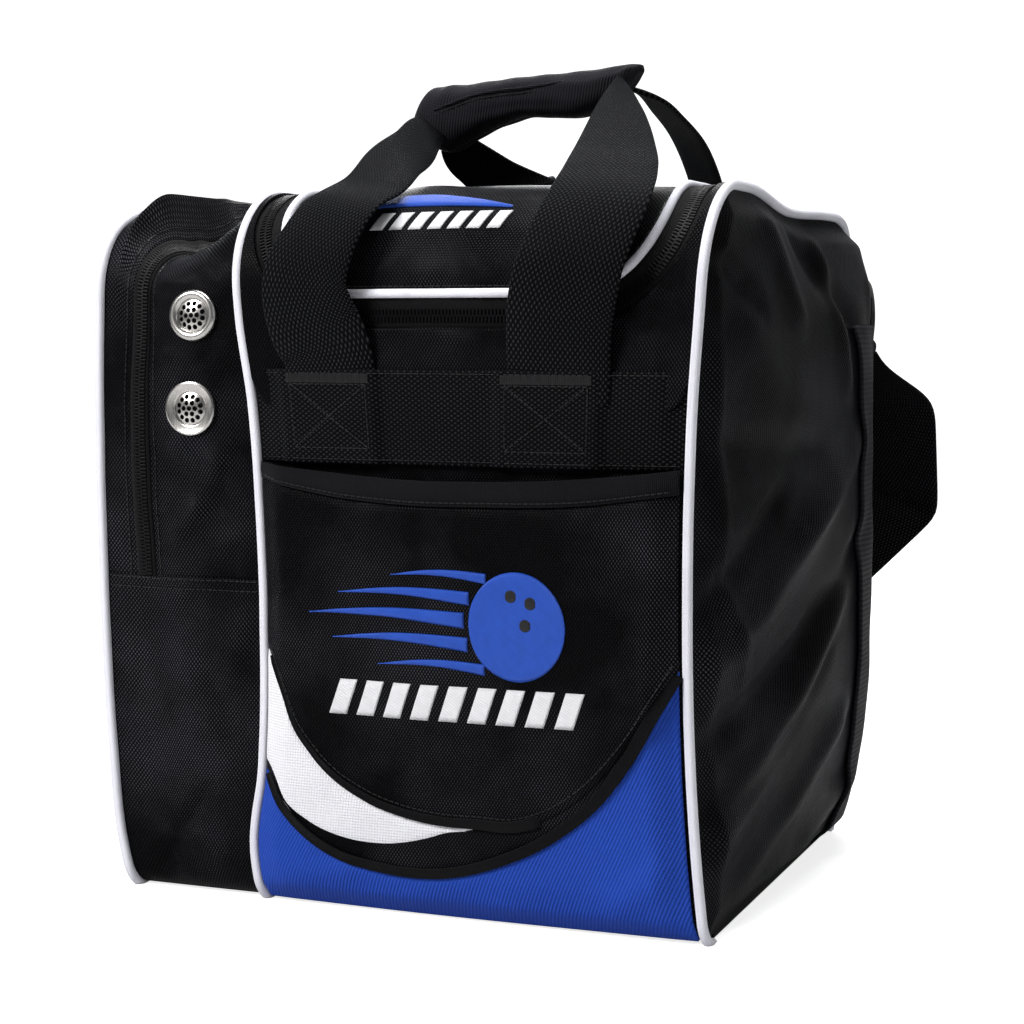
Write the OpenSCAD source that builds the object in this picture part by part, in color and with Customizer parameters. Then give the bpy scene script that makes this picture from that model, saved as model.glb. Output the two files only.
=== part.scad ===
// Single-ball bowling bag: a zipped ball compartment with a zipped shoe compartment beside it,
// two carrying handles that meet in a wrap grip, and a shoulder strap on two D-rings.
// Origin: centre of the base, on the surface the bag stands on.
// X runs to the right, Y to the back, Z up. Millimetres.

/* [Body] */
// Width of the ball compartment, seam to seam
main_w = 244; // [242:1:250]
// Width of the shoe compartment, seam to seam
shoe_w = 86; // [84:1:92]
// Depth of the bag, front face to back face
depth = 270; // [268:1:274]
// Height of the fabric body
height = 367; // [365:1:370]
// How far the right side panel stands out of its seam
side_bulge = 40; // [20:1:44]
// Thickness of the lined fabric
fabric_t = 3; // [2.5:0.5:3]
// Radius of the top front edge
front_r = 50; // [48:1:52]
// Radius of the top back edge
back_r = 45; // [42:1:46]
// Radius of the bottom edges
foot_r = 12; // [10:1:14]

/* [Lid] */
// Distance from the side seams in to the middle of the lid's zip
zip_inset = 11; // [10:0.5:12]
// Height of the zip's middle across the front
lid_lip_z = 304; // [302:1:306]
// Radius of the lid's front corners
lid_corner_r = 55; // [50:1:60]
// Y of the fold that the lid turns on
hinge_y = 95; // [92:1:98]

/* [Shoe compartment] */
// Distance from the outer seam in to the middle of the shoe zip
shoe_zip_inset = 22; // [20:1:26]
// Height of the seam that the shoe flap folds down on
flap_z = 168; // [164:1:172]
// Outer radius of a vent eyelet
eyelet_r = 13; // [12:0.5:14]

/* [Webbing and handles] */
// Width of the handle webbing
web_w = 50; // [46:1:50]
// Thickness of the webbing
web_t = 2; // [1.6:0.2:2]
// Height of the lower edge of the bands across the front and back
band_z = 234; // [233:1:238]
// Outer radius of the wrap grip
grip_r = 16; // [15:0.5:17]
// Width of the shoulder strap
strap_w = 40; // [38:1:42]

/* [Front pocket] */
// Height of the pocket's bound top edge
pocket_z = 230; // [228:1:232]
// Room between the pocket and the bag's front
pocket_gap = 6; // [5.5:0.5:6]

/* [Hidden] */

$fn = 48;

// Seam planes, from the outer seam on the left to the right seam
total_w = main_w + shoe_w;
seam_outer = -168;
seam_inner = seam_outer + shoe_w;
seam_right = seam_outer + total_w;
main_mid = (seam_inner + seam_right) / 2;
front_y = -depth / 2;
back_y = depth / 2;

// Clearances
move_gap = 0.4;     // between pieces that part when something opens
seam_gap = 0.3;     // between sewn pieces that lie on each other

// Seam piping
piping_w = 5;
piping_t = 2.5;

// Zip: the half width of the teeth and where each tape ends, from the zip's middle
teeth_half = 1.9;
teeth_gap = 0.2;
rim_tape_end = 6;
lid_tape_end = 9;
lid_piping_end = 13;
shoe_tape_end = 7;

// Pocket
pocket_t = 2.5;
pocket_bottom = 6;
pocket_y = front_y - pocket_gap - pocket_t;
pocket_x0 = seam_inner + piping_w / 2 + 1;
pocket_x1 = seam_right - piping_w / 2 - 1;
binding_h = 12;
// Arcs of the colour fields as [x, z, radius]: the crescent lies between the first two, and the
// blue field's upper edge is the third on the left and the fourth on the right
field_arc = [32, 167.5, 117.6];
crescent_arc = [-6, 121, 86.4];
blue_left_arc = [5, 123.5, 99];
blue_right_arc = [5, 188, 163.5];
welt_w = 5;

// Eyelets
eyelet_x = -116;
eyelet_zs = [303, 256];
screen_r = 8.6;
barrel_r = 9.4;

// Handles: middle line of each leg as [x, y, z, width]; the top run joins the last points
handle_pivot_z = 286;
left_leg = [
    [-33, -142, 286.6, 50], [-41, -148, 305, 50], [-43, -151, 325, 48], [-38, -149, 342, 46],
    [-32, -138, 360, 44], [-27, -115, 377, 42], [-26, -80, 389, 38], [-29, -45, 399, 30],
    [-34, -16, 409, 22], [-35, -6, 413, 20]
];
right_leg = [
    [88, -142, 286.6, 50], [90, -148, 305, 50], [95, -151, 325, 48], [100, -149, 342, 46],
    [106, -138, 360, 46], [104, -115, 378, 44], [96, -80, 393, 38], [86, -45, 409, 30],
    [77, -16, 420, 22], [76, -6, 423, 20]
];
top_run = [[-45, -6, 412, 20], [86, -6, 424, 20]];
anchor_xs = [-33, 88];
grip_x0 = -20;
grip_x1 = 62;
grip_wall = 3;
grip_mid = [(grip_x0 + grip_x1) / 2, 0, 418];
grip_tilt = -5;

// D-rings: half rings whose middle axis runs along X, so the strap's ends can ride round them
ring_y = 141;
ring_z = 304;
ring_r = 20;
ring_rod = 2.5;
ring_xs = [-95, 176];
strap_mid = (ring_xs[0] + ring_xs[1]) / 2;
strap_reach = (ring_xs[1] - ring_xs[0]) / 2;
strap_y = 147;
strap_t = 2.5;

// Points on an arc about [cx, cy] from angle a0 to a1 in n steps
function arc(cx, cy, r, a0, a1, n) =
    [for (i = [0 : n]) [cx + r * cos(a0 + (a1 - a0) * i / n), cy + r * sin(a0 + (a1 - a0) * i / n)]];

// Outline of the bag seen from its side, as [y, z], moved inwards by inset
function profile(inset) = concat(
    arc(front_y + foot_r, foot_r, foot_r - inset, 180, 270, 5),
    arc(back_y - foot_r, foot_r, foot_r - inset, 270, 360, 5),
    arc(back_y - back_r, height - back_r, back_r - inset, 0, 90, 9),
    arc(front_y + front_r, height - front_r, front_r - inset, 90, 180, 9)
);

// The same list with long straight stretches divided
function divided(p, step) = [
    for (i = [0 : len(p) - 1])
        let (a = p[i], b = p[(i + 1) % len(p)], n = max(1, ceil(norm(b - a) / step)))
            for (k = [0 : n - 1]) a + (b - a) * k / n
];

function unit(v) = v / norm(v);

// How far the right side panel stands out at [y, z]
bulge_y = 62;
bulge_z = 175;
function fade(a, mid, low, high) = a < mid ? (mid - a) / (mid - low) : (a - mid) / (high - mid);
function bulge(y, z) =
    let (u = min(1, fade(y, bulge_y, front_y, back_y)), v = min(1, fade(z, bulge_z, 0, height)))
        side_bulge * pow(1 - u * u, 0.9) * pow(1 - v * v * v, 0.8);

// Extrude a [y, z] shape along X
module along_x(x0, x1) {
    translate([x0, 0, 0]) rotate([90, 0, 90]) linear_extrude(x1 - x0) children();
}

// Extrude an [x, z] shape along Y
module along_y(y0, y1) {
    translate([0, y1, 0]) rotate([90, 0, 0]) linear_extrude(y1 - y0) children();
}

module block(low, high) {
    translate(low) cube(high - low);
}

// A layer that goes round the bag between two insets, from x0 to x1
module wrap(x0, x1, in0, in1) {
    along_x(x0, x1) difference() {
        polygon(profile(in0));
        polygon(profile(in1));
    }
}

// The lid's outline seen from the front, grown from the zip's middle
module lid_plan(grow) {
    x0 = seam_inner + zip_inset - grow;
    x1 = seam_right - zip_inset + grow;
    z0 = lid_lip_z - grow;
    r = lid_corner_r + grow;
    polygon(concat(
        arc(x0 + r, z0 + r, r, 180, 270, 10),
        arc(x1 - r, z0 + r, r, 270, 360, 10),
        [[x1, height + 20], [x0, height + 20]]
    ));
}

module lid_zone(grow, y_end) {
    along_y(front_y - 20, y_end) lid_plan(grow);
}

// A U-shaped strip between two outlines of the lid, in one layer of the wrap
module lid_strip(grow0, grow1, in0, in1, y_end) {
    intersection() {
        wrap(seam_inner, seam_right, in0, in1);
        difference() {
            lid_zone(grow0, y_end);
            lid_zone(grow1, y_end + 20);
        }
    }
}

// A flat band swept along a path of [x, y, z, width], lying across the direction given
module ribbon(path, across, t) {
    n = len(path);
    side = unit(across);
    points = [
        for (i = [0 : n - 1])
            let (
                here = [path[i][0], path[i][1], path[i][2]],
                a = path[max(i - 1, 0)],
                b = path[min(i + 1, n - 1)],
                up = unit(cross(side, [b[0] - a[0], b[1] - a[1], b[2] - a[2]])) * t / 2,
                w = side * path[i][3] / 2
            )
            each [here - w - up, here + w - up, here + w + up, here - w + up]
    ];
    sides = [
        for (i = [0 : n - 2])
            for (k = [0 : 3])
                let (a = 4 * i + k, b = 4 * i + (k + 1) % 4)
                    each [[a, a + 4, b], [b, a + 4, b + 4]]
    ];
    last = 4 * (n - 1);
    caps = [[0, 1, 2], [0, 2, 3], [last, last + 2, last + 1], [last, last + 3, last + 2]];
    polyhedron(points, concat(sides, caps));
}

// --- Ball compartment ---------------------------------------------------------------------

module base_panel() {
    color("black")
        block([seam_outer, front_y + foot_r, 0], [seam_right, back_y - foot_r, fabric_t]);
}

module base_board() {
    color("dimgray")
        block([seam_inner + 4, -118, fabric_t], [seam_right - 4, 118, fabric_t + 4]);
}

// Ring that keeps the ball in the middle of the base
module ball_cup() {
    color("gray") translate([main_mid, 0, fabric_t + 4]) difference() {
        cylinder(h = 22, r = 78);
        translate([0, 0, -1]) cylinder(h = 24, r = 60);
    }
}

module front_panel() {
    color("black") intersection() {
        wrap(seam_inner, seam_right, 0, fabric_t);
        block([seam_inner, front_y - 1, 0], [seam_right, front_y + foot_r, lid_lip_z - 12]);
    }
}

module back_panel() {
    color("black") intersection() {
        wrap(seam_inner, seam_right, 0, fabric_t);
        union() {
            block([seam_inner, back_y - foot_r, 0], [seam_right, back_y + 1, height + 1]);
            block([seam_inner, hinge_y, height / 2], [seam_right, back_y + 1, height + 1]);
        }
    }
}

// Border of the lid's opening
module lid_rim() {
    color("black") difference() {
        intersection() {
            wrap(seam_inner, seam_right, 0, fabric_t);
            block([seam_inner, front_y - 1, lid_lip_z - 12], [seam_right, hinge_y, height + 1]);
        }
        lid_zone(rim_tape_end, hinge_y + 20);
    }
}

// Bulged shell: rings of points from the middle out to the seam, on an inner and an outer skin
module right_side_panel() {
    edge = divided(profile(0), 26);
    n = len(edge);
    rings = [0.18, 0.36, 0.54, 0.7, 0.83, 0.93, 1];
    m = len(rings);
    centre = [bulge_y / 2, bulge_z];
    skin = [
        for (s = rings)
            for (e = edge)
                let (p = centre + (e - centre) * s)
                    [seam_right + (s == 1 ? 0 : bulge(p[0], p[1])), p[0], p[1]]
    ];
    hub = [seam_right + bulge(centre[0], centre[1]), centre[0], centre[1]];
    inner = concat([hub], skin);
    outer = [for (p = inner) p + [fabric_t, 0, 0]];
    far = len(inner);
    fan = [for (k = [0 : n - 1]) [0, 1 + k, 1 + (k + 1) % n]];
    bands = [
        for (r = [0 : m - 2])
            for (k = [0 : n - 1])
                let (a = 1 + r * n + k, b = 1 + r * n + (k + 1) % n)
                    each [[a, a + n, b], [b, a + n, b + n]]
    ];
    inside = concat(fan, bands);
    outside = [for (f = inside) [f[0] + far, f[2] + far, f[1] + far]];
    first = 1 + (m - 1) * n;
    edge_faces = [
        for (k = [0 : n - 1])
            let (a = first + k, b = first + (k + 1) % n)
                each [[a, a + far, b], [b, a + far, b + far]]
    ];
    color("black") polyhedron(concat(inner, outer), concat(inside, outside, edge_faces));
}

// Wall between the two compartments
module divider_panel() {
    color("black") along_x(seam_inner - fabric_t / 2, seam_inner + fabric_t / 2)
        polygon(profile(fabric_t));
}

// Piping that follows a seam round the bag, above the surface it stands on
module seam_piping(x_mid, low_z) {
    color("white") intersection() {
        wrap(x_mid - piping_w / 2, x_mid + piping_w / 2, -piping_t, 0);
        block([x_mid - 10, front_y - 10, low_z], [x_mid + 10, back_y + 10, height + 10]);
    }
}

module right_piping() {
    seam_piping(seam_right, 0);
}

module inner_piping() {
    seam_piping(seam_inner, 0);
}

// --- Front pocket -------------------------------------------------------------------------

// Shallow tray that is open at its top; closed by the seams at its sides and bottom
module pocket_tray() {
    difference() {
        block([pocket_x0, pocket_y, pocket_bottom], [pocket_x1, front_y, pocket_z - binding_h]);
        block([pocket_x0 + pocket_t, pocket_y + pocket_t, pocket_bottom + foot_r],
              [pocket_x1 - pocket_t, front_y + 1, pocket_z + 1]);
        block([pocket_x0 - 1, pocket_y + pocket_t, pocket_bottom - 1],
              [pocket_x1 + 1, front_y + 1, foot_r]);
    }
}

module disc(shape, grow = 0) {
    translate([shape[0], shape[1]]) circle(r = shape[2] + grow, $fn = 120);
}

// Front view of everything above the blue field, with its edge moved down by grow
module upper_plan(grow = 0) {
    x_mid = blue_left_arc[0];
    wide = 2 * total_w;
    intersection() {
        disc(blue_left_arc, grow);
        translate([x_mid - wide, 0]) square([wide, blue_left_arc[1]]);
    }
    intersection() {
        disc(blue_right_arc, grow);
        translate([x_mid, 0]) square([wide, blue_right_arc[1]]);
    }
    translate([x_mid - wide, blue_left_arc[1]]) square([wide, wide]);
    translate([x_mid, blue_right_arc[1]]) square([wide, wide]);
}

module crescent_plan() {
    difference() {
        disc(crescent_arc);
        disc(field_arc);
    }
}

module through_pocket() {
    along_y(pocket_y - 5, front_y + 5) children();
}

module pocket_panel() {
    color("black") difference() {
        intersection() {
            pocket_tray();
            through_pocket() upper_plan();
        }
        through_pocket() crescent_plan();
    }
}

module pocket_white_panel() {
    color("white") intersection() {
        pocket_tray();
        through_pocket() crescent_plan();
    }
}

module pocket_blue_panel() {
    color("royalblue") difference() {
        pocket_tray();
        through_pocket() upper_plan();
    }
}

// Bound upper edge of the pocket
module pocket_binding() {
    color("black") difference() {
        block([pocket_x0, pocket_y - 0.5, pocket_z - binding_h], [pocket_x1, front_y, pocket_z]);
        block([pocket_x0 + pocket_t, pocket_y + pocket_t, pocket_z - binding_h - 1],
              [pocket_x1 - pocket_t, front_y + 1, pocket_z + 1]);
    }
}

// Raised black welt along the top of the blue field
module pocket_welt() {
    color("black") along_y(pocket_y - 1.5, pocket_y) intersection() {
        translate([pocket_x0, pocket_bottom]) square([pocket_x1 - pocket_x0, 120]);
        difference() {
            upper_plan(welt_w / 2);
            upper_plan(-welt_w / 2);
        }
    }
}

// --- Bands, anchors and handles -------------------------------------------------------------

module band(side) {
    x0 = pocket_x0;
    x1 = pocket_x1;
    color("black") intersection() {
        wrap(x0, x1, -2 * web_t, -web_t);
        block([x0, side > 0 ? 0 : front_y - 10, band_z], [x1, side > 0 ? back_y + 10 : 0, band_z + 48]);
    }
}

module front_band() {
    band(-1);
}

module back_band() {
    band(1);
}

// Sewn ends of the handle webbing, under the band
module handle_anchors(side) {
    color("black") for (x = anchor_xs) intersection() {
        wrap(x - web_w / 2, x + web_w / 2, -web_t, 0);
        block([x - web_w, side > 0 ? 0 : front_y - 10, band_z + 4],
              [x + web_w, side > 0 ? back_y + 10 : 0, handle_pivot_z - 1.5]);
    }
}

module front_handle_anchors() {
    handle_anchors(-1);
}

module back_handle_anchors() {
    handle_anchors(1);
}

module front_handle() {
    color("black") union() {
        ribbon(left_leg, [1, 0, 0], web_t);
        ribbon(right_leg, [1, 0, 0], web_t);
        ribbon(top_run, [0, 0, 1], web_t);
    }
}

module back_handle() {
    mirror([0, 1, 0]) front_handle();
}

// Half of the wrap that holds the two handles together
module grip_front_half() {
    color("black") translate(grip_mid) rotate([0, grip_tilt, 0]) along_x(grip_x0 - grip_mid[0], grip_x1 - grip_mid[0])
        difference() {
            circle(r = grip_r);
            circle(r = grip_r - grip_wall);
            translate([-seam_gap, -2 * grip_r]) square(4 * grip_r);
        }
}

module grip_back_half() {
    mirror([0, 1, 0]) grip_front_half();
}

// --- Lid ------------------------------------------------------------------------------------

module rim_zip_tape() {
    color("black") lid_strip(rim_tape_end, teeth_half, 1, 2.2, hinge_y - 1);
}

module rim_zip_teeth() {
    color("dimgray") lid_strip(teeth_half, teeth_gap, 0.4, 2.8, hinge_y - 6);
}

module lid_panel() {
    color("black") intersection() {
        wrap(seam_inner, seam_right, 0, fabric_t);
        lid_zone(-lid_tape_end, hinge_y - move_gap);
    }
}

module lid_piping() {
    color("white") lid_strip(-lid_tape_end, -lid_piping_end, -1.5, 0, hinge_y - 5);
}

module lid_zip_tape() {
    color("black") lid_strip(-teeth_half, -lid_tape_end, 1, 2.2, hinge_y - 1);
}

module lid_zip_teeth() {
    color("dimgray") lid_strip(-teeth_gap, -teeth_half, 0.4, 2.8, hinge_y - 6);
}

// Slider body lying on the zip, with the bar its pull turns on; the zip runs along local Y
slider_bar_z = 4.2;
module zip_slider() {
    color("dimgray") {
        block([-4.2, -6.5, 0.3], [4.2, 6.5, 1.9]);
        for (x = [-4, 2.8]) block([x, -1.5, 1.9], [x + 1.2, 1.5, slider_bar_z + 1.2]);
        translate([-4, 0, slider_bar_z]) rotate([0, 90, 0]) cylinder(h = 8, r = 0.9);
    }
}

// Pull tab hung on the slider's bar and lying along local +Y
module zip_pull() {
    color("dimgray") difference() {
        union() {
            translate([-2.4, 0, slider_bar_z]) rotate([0, 90, 0]) cylinder(h = 4.8, r = 2.1);
            block([-2.4, 0, slider_bar_z - 0.7], [2.4, 24, slider_bar_z + 0.7]);
            translate([0, 24, slider_bar_z - 0.7]) cylinder(h = 1.4, r = 3.6);
        }
        translate([-3, 0, slider_bar_z]) rotate([0, 90, 0]) cylinder(h = 6, r = 1.2);
        translate([0, 24, slider_bar_z - 2]) cylinder(h = 4, r = 1.6);
    }
}

// The lid's slider rests at the left end of the zip, by the fold
module on_lid_zip() {
    translate([seam_inner + zip_inset, hinge_y - 40, height]) children();
}

module lid_zip_slider() {
    on_lid_zip() zip_slider();
}

module lid_zip_pull() {
    on_lid_zip() zip_pull();
}

// --- Shoe compartment -----------------------------------------------------------------------

shoe_zip_x = seam_outer + shoe_zip_inset;

// Part of a layer round the shoe compartment that lies above or below the flap's seam
module shoe_layer(x0, x1, in0, in1, z0, z1) {
    intersection() {
        wrap(x0, x1, in0, in1);
        block([x0, front_y - 10, z0], [x1, back_y + 10, z1]);
    }
}

module shoe_lower_gusset() {
    color("black") difference() {
        shoe_layer(seam_outer, seam_inner, 0, fabric_t, 0, flap_z - move_gap);
        block([seam_outer - 1, front_y + foot_r, -1], [seam_inner + 1, back_y - foot_r, 20]);
    }
}

module shoe_inner_gusset() {
    color("black") difference() {
        shoe_layer(shoe_zip_x + shoe_tape_end, seam_inner, 0, fabric_t, flap_z - move_gap, height + 1);
        for (z = eyelet_zs) translate([eyelet_x, front_y - 5, z]) rotate([-90, 0, 0])
            cylinder(h = 20, r = barrel_r);
    }
}

// Outer wall below the fold
module shoe_lower_panel() {
    color("black") intersection() {
        along_x(seam_outer - fabric_t, seam_outer) polygon(profile(0));
        block([seam_outer - 10, front_y - 1, 0], [seam_outer + 1, back_y + 1, flap_z - move_gap]);
    }
}

module outer_piping() {
    color("white") shoe_layer(seam_outer - fabric_t, seam_outer + piping_w - fabric_t,
                              -piping_t, 0, 0, flap_z - move_gap);
}

module shoe_zip_tape() {
    color("black") shoe_layer(shoe_zip_x + teeth_half, shoe_zip_x + shoe_tape_end, 1, 2.2,
                              flap_z, height + 1);
}

module shoe_zip_teeth() {
    color("dimgray") shoe_layer(shoe_zip_x + teeth_gap, shoe_zip_x + teeth_half, 0.4, 2.8,
                                flap_z, height + 1);
}

module shoe_flap_panel() {
    color("black") intersection() {
        along_x(seam_outer - fabric_t, seam_outer) polygon(profile(0));
        block([seam_outer - 10, front_y - 1, flap_z + move_gap], [seam_outer + 1, back_y + 1, height + 1]);
    }
}

module shoe_flap_gusset() {
    color("black") shoe_layer(seam_outer, shoe_zip_x - shoe_tape_end, 0, fabric_t,
                              flap_z + move_gap, height + 1);
}

module shoe_flap_piping() {
    color("white") shoe_layer(seam_outer - fabric_t, seam_outer + piping_w - fabric_t,
                              -piping_t, 0, flap_z + move_gap, height + 10);
}

module shoe_flap_zip_tape() {
    color("black") shoe_layer(shoe_zip_x - shoe_tape_end, shoe_zip_x - teeth_half, 1, 2.2,
                              flap_z + move_gap, height + 1);
}

module shoe_flap_zip_teeth() {
    color("dimgray") shoe_layer(shoe_zip_x - teeth_half, shoe_zip_x - teeth_gap, 0.4, 2.8,
                                flap_z + move_gap, height + 1);
}

// The shoe zip's slider rests high on the back
module on_shoe_zip() {
    translate([shoe_zip_x, back_y, height - back_r - 14]) rotate([-90, 0, 0]) children();
}

module shoe_zip_slider() {
    on_shoe_zip() zip_slider();
}

module shoe_zip_pull() {
    on_shoe_zip() zip_pull();
}

// Place children at each eyelet, with local +Z pointing out of the front
module at_eyelets() {
    for (z = eyelet_zs) translate([eyelet_x, front_y, z]) rotate([90, 0, 0]) children();
}

module eyelet_rims() {
    color("silver") at_eyelets() rotate_extrude() polygon([
        [screen_r, -4.5], [barrel_r, -4.5], [barrel_r, 0], [eyelet_r, 0], [eyelet_r - 0.4, 0.9],
        [eyelet_r - 2, 1.6], [screen_r + 0.6, 1.2], [screen_r, 0.6]
    ]);
}

// Perforated disc inside each rim: one hole in the middle, six round it and twelve round those
module eyelet_screens() {
    hole_r = 0.9;
    color("silver") at_eyelets() difference() {
        translate([0, 0, -0.8]) cylinder(h = 0.8, r = screen_r);
        for (ring = [[1, 0], [6, 3.3], [12, 6.5]])
            for (k = [0 : ring[0] - 1]) rotate([0, 0, k * 360 / ring[0]])
                translate([ring[1], 0, -2]) cylinder(h = 4, r = hole_r, $fn = 16);
    }
}

// Washers that clamp the rims from inside
module eyelet_washers() {
    color("silver") at_eyelets() translate([0, 0, -fabric_t - 1]) difference() {
        cylinder(h = 1, r = eyelet_r);
        translate([0, 0, -1]) cylinder(h = 3, r = barrel_r);
    }
}

// --- Shoulder strap -------------------------------------------------------------------------

// Webbing sewn down the right side panel, just behind where it stands out furthest
module side_webbing() {
    y0 = 62;
    low = 12;
    high = 288;
    rows = 14;
    cols = 4;
    lift = fabric_t + 0.6;
    skin = [
        for (i = [0 : rows])
            for (k = [0 : cols])
                let (y = y0 + web_w * k / cols, z = low + (high - low) * i / rows)
                    [seam_right + lift + bulge(y, z), y, z]
    ];
    outer = [for (p = skin) p + [web_t, 0, 0]];
    far = len(skin);
    wide = cols + 1;
    inside = [
        for (i = [0 : rows - 1])
            for (k = [0 : cols - 1])
                let (a = i * wide + k)
                    each [[a, a + wide, a + 1], [a + 1, a + wide, a + wide + 1]]
    ];
    outside = [for (f = inside) [f[0] + far, f[2] + far, f[1] + far]];
    border = concat(
        [for (k = [0 : cols]) k],
        [for (i = [1 : rows]) i * wide + cols],
        [for (k = [cols - 1 : -1 : 0]) rows * wide + k],
        [for (i = [rows - 1 : -1 : 1]) i * wide]
    );
    walls = [
        for (i = [0 : len(border) - 1])
            let (a = border[i], b = border[(i + 1) % len(border)])
                each [[a, b, a + far], [b, b + far, a + far]]
    ];
    color("black") polyhedron(concat(skin, outer), concat(inside, outside, walls));
}

// Half ring about the X axis with a straight bar at its front; the strap rides on the half ring
module d_ring(x) {
    color("black") translate([x, ring_y, ring_z]) {
        rotate([0, 90, 0]) rotate_extrude(angle = 180)
            translate([ring_r, 0]) circle(r = ring_rod);
        translate([0, 0, -ring_r]) cylinder(h = 2 * ring_r, r = ring_rod);
        for (z = [-ring_r, ring_r]) translate([0, 0, z]) sphere(r = ring_rod);
    }
}

module d_ring_right() {
    d_ring(ring_xs[1]);
}

module d_ring_left() {
    d_ring(ring_xs[0]);
}

// Webbing loop round a D-ring's bar, with the tab that is sewn to the back of the bag
module ring_loop(x, tab_x0, tab_x1) {
    hole_r = ring_rod + 0.2;
    loop_h = 24;
    tab_y = back_y + piping_t + seam_gap;
    translate([0, 0, ring_z - loop_h / 2]) difference() {
        union() {
            translate([x, ring_y, 0]) cylinder(h = loop_h, r = hole_r + web_t);
            block([min(x, tab_x0), tab_y, 0], [max(x, tab_x1), tab_y + 1, loop_h]);
            block([tab_x0, back_y, 0], [tab_x1, tab_y + 1, loop_h]);
        }
        translate([x, ring_y, -1]) cylinder(h = loop_h + 2, r = hole_r);
    }
}

module ring_loops() {
    color("black") {
        ring_loop(ring_xs[0], ring_xs[0] - 8, ring_xs[0] + 8);
        ring_loop(ring_xs[1], 142, seam_right - piping_w / 2 - 1);
    }
}

// One half of the strap as [x, z] from its middle: it leaves a D-ring, widens, folds over at
// its outer corner and slopes down to the run behind the bag
strap_low = 72;
fold_x = strap_reach + 44;
fold_z = 188;
slope_w = strap_w * sqrt(2);
strap_half = [
    [0, strap_low], [fold_x - fold_z + strap_low, strap_low], [fold_x, fold_z], [fold_x, 262],
    [strap_reach + 7, 281], [strap_reach - 7, 281], [fold_x - strap_w, 262],
    [fold_x - strap_w, fold_z - strap_w + slope_w],
    [fold_x - fold_z - slope_w + strap_low + strap_w, strap_low + strap_w], [0, strap_low + strap_w]
];

// Flat strap behind the bag; each end is gathered into a loop that rides round a D-ring
module shoulder_strap() {
    loop_from = 14;
    loop_span = 20;
    color("black") {
        for (m = [0, 1]) translate([strap_mid, 0, 0]) mirror([m, 0, 0])
            along_y(strap_y, strap_y + strap_t) polygon(strap_half);
        for (x = ring_xs) translate([x, ring_y, ring_z]) rotate([0, 90, 0])
            rotate([0, 0, loop_from]) rotate_extrude(angle = loop_span)
                translate([ring_r, 0]) difference() {
                    circle(r = ring_rod + 3.2);
                    circle(r = ring_rod + 0.8);
                }
    }
}

// Slide that sets the strap's length, on the sloping run at the left
module strap_adjuster() {
    out = 88;
    mid_z = out + fold_z - fold_x + slope_w / 2;
    slot = strap_t / 2 + 0.4;
    color("black") translate([strap_mid - out, strap_y + strap_t / 2, mid_z]) rotate([0, 45, 0])
        difference() {
            block([-15, -4, -26], [15, 4, 26]);
            block([-16, -slot, -22], [16, slot, 22]);
            block([-10, 0, -22], [-2, 5, 22]);
            block([2, 0, -22], [10, 5, 22]);
        }
}

base_panel();
base_board();
ball_cup();
front_panel();
back_panel();
lid_rim();
right_side_panel();
divider_panel();
right_piping();
inner_piping();
outer_piping();
pocket_panel();
pocket_white_panel();
pocket_blue_panel();
pocket_binding();
pocket_welt();
front_band();
back_band();
front_handle_anchors();
back_handle_anchors();
rim_zip_tape();
rim_zip_teeth();
lid_panel();
lid_piping();
lid_zip_tape();
lid_zip_teeth();
lid_zip_slider();
lid_zip_pull();
shoe_lower_gusset();
shoe_inner_gusset();
shoe_lower_panel();
shoe_zip_tape();
shoe_zip_teeth();
shoe_flap_panel();
shoe_flap_gusset();
shoe_flap_piping();
shoe_flap_zip_tape();
shoe_flap_zip_teeth();
shoe_zip_slider();
shoe_zip_pull();
eyelet_rims();
eyelet_screens();
eyelet_washers();
front_handle();
back_handle();
grip_front_half();
grip_back_half();
side_webbing();
ring_loops();
d_ring_right();
d_ring_left();
shoulder_strap();
strap_adjuster();
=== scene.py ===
import math

import bpy
import numpy as np
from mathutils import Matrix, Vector


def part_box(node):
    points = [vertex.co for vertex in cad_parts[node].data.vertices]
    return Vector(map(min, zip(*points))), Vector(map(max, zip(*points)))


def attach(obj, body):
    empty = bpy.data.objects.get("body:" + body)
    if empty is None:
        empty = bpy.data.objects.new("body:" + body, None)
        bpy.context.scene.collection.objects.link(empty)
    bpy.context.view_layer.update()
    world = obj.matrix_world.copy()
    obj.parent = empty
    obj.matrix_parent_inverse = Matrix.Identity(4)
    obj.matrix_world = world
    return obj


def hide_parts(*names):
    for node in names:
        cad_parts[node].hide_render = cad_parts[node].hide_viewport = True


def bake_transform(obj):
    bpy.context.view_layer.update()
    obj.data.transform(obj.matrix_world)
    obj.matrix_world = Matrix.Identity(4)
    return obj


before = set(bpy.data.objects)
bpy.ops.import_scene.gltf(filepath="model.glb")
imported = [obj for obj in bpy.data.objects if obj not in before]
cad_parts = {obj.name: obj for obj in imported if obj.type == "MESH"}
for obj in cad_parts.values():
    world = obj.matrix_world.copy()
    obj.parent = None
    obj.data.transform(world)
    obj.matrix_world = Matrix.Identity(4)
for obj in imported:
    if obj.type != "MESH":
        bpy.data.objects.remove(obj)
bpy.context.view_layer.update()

# ---- sizes, in metres, from the CAD parts --------------------------------------------------

MM = 0.001
SEAM_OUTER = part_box("shoe_flap_gusset")[0].x
SEAM_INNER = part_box("front_panel")[0].x
SEAM_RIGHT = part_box("front_panel")[1].x
MAIN_MID = (SEAM_INNER + SEAM_RIGHT) / 2
HALF_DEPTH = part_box("back_panel")[1].y
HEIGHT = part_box("lid_rim")[1].z
HINGE_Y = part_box("lid_rim")[1].y
FLAP_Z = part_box("shoe_flap_panel")[0].z
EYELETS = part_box("eyelet_rims")

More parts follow.
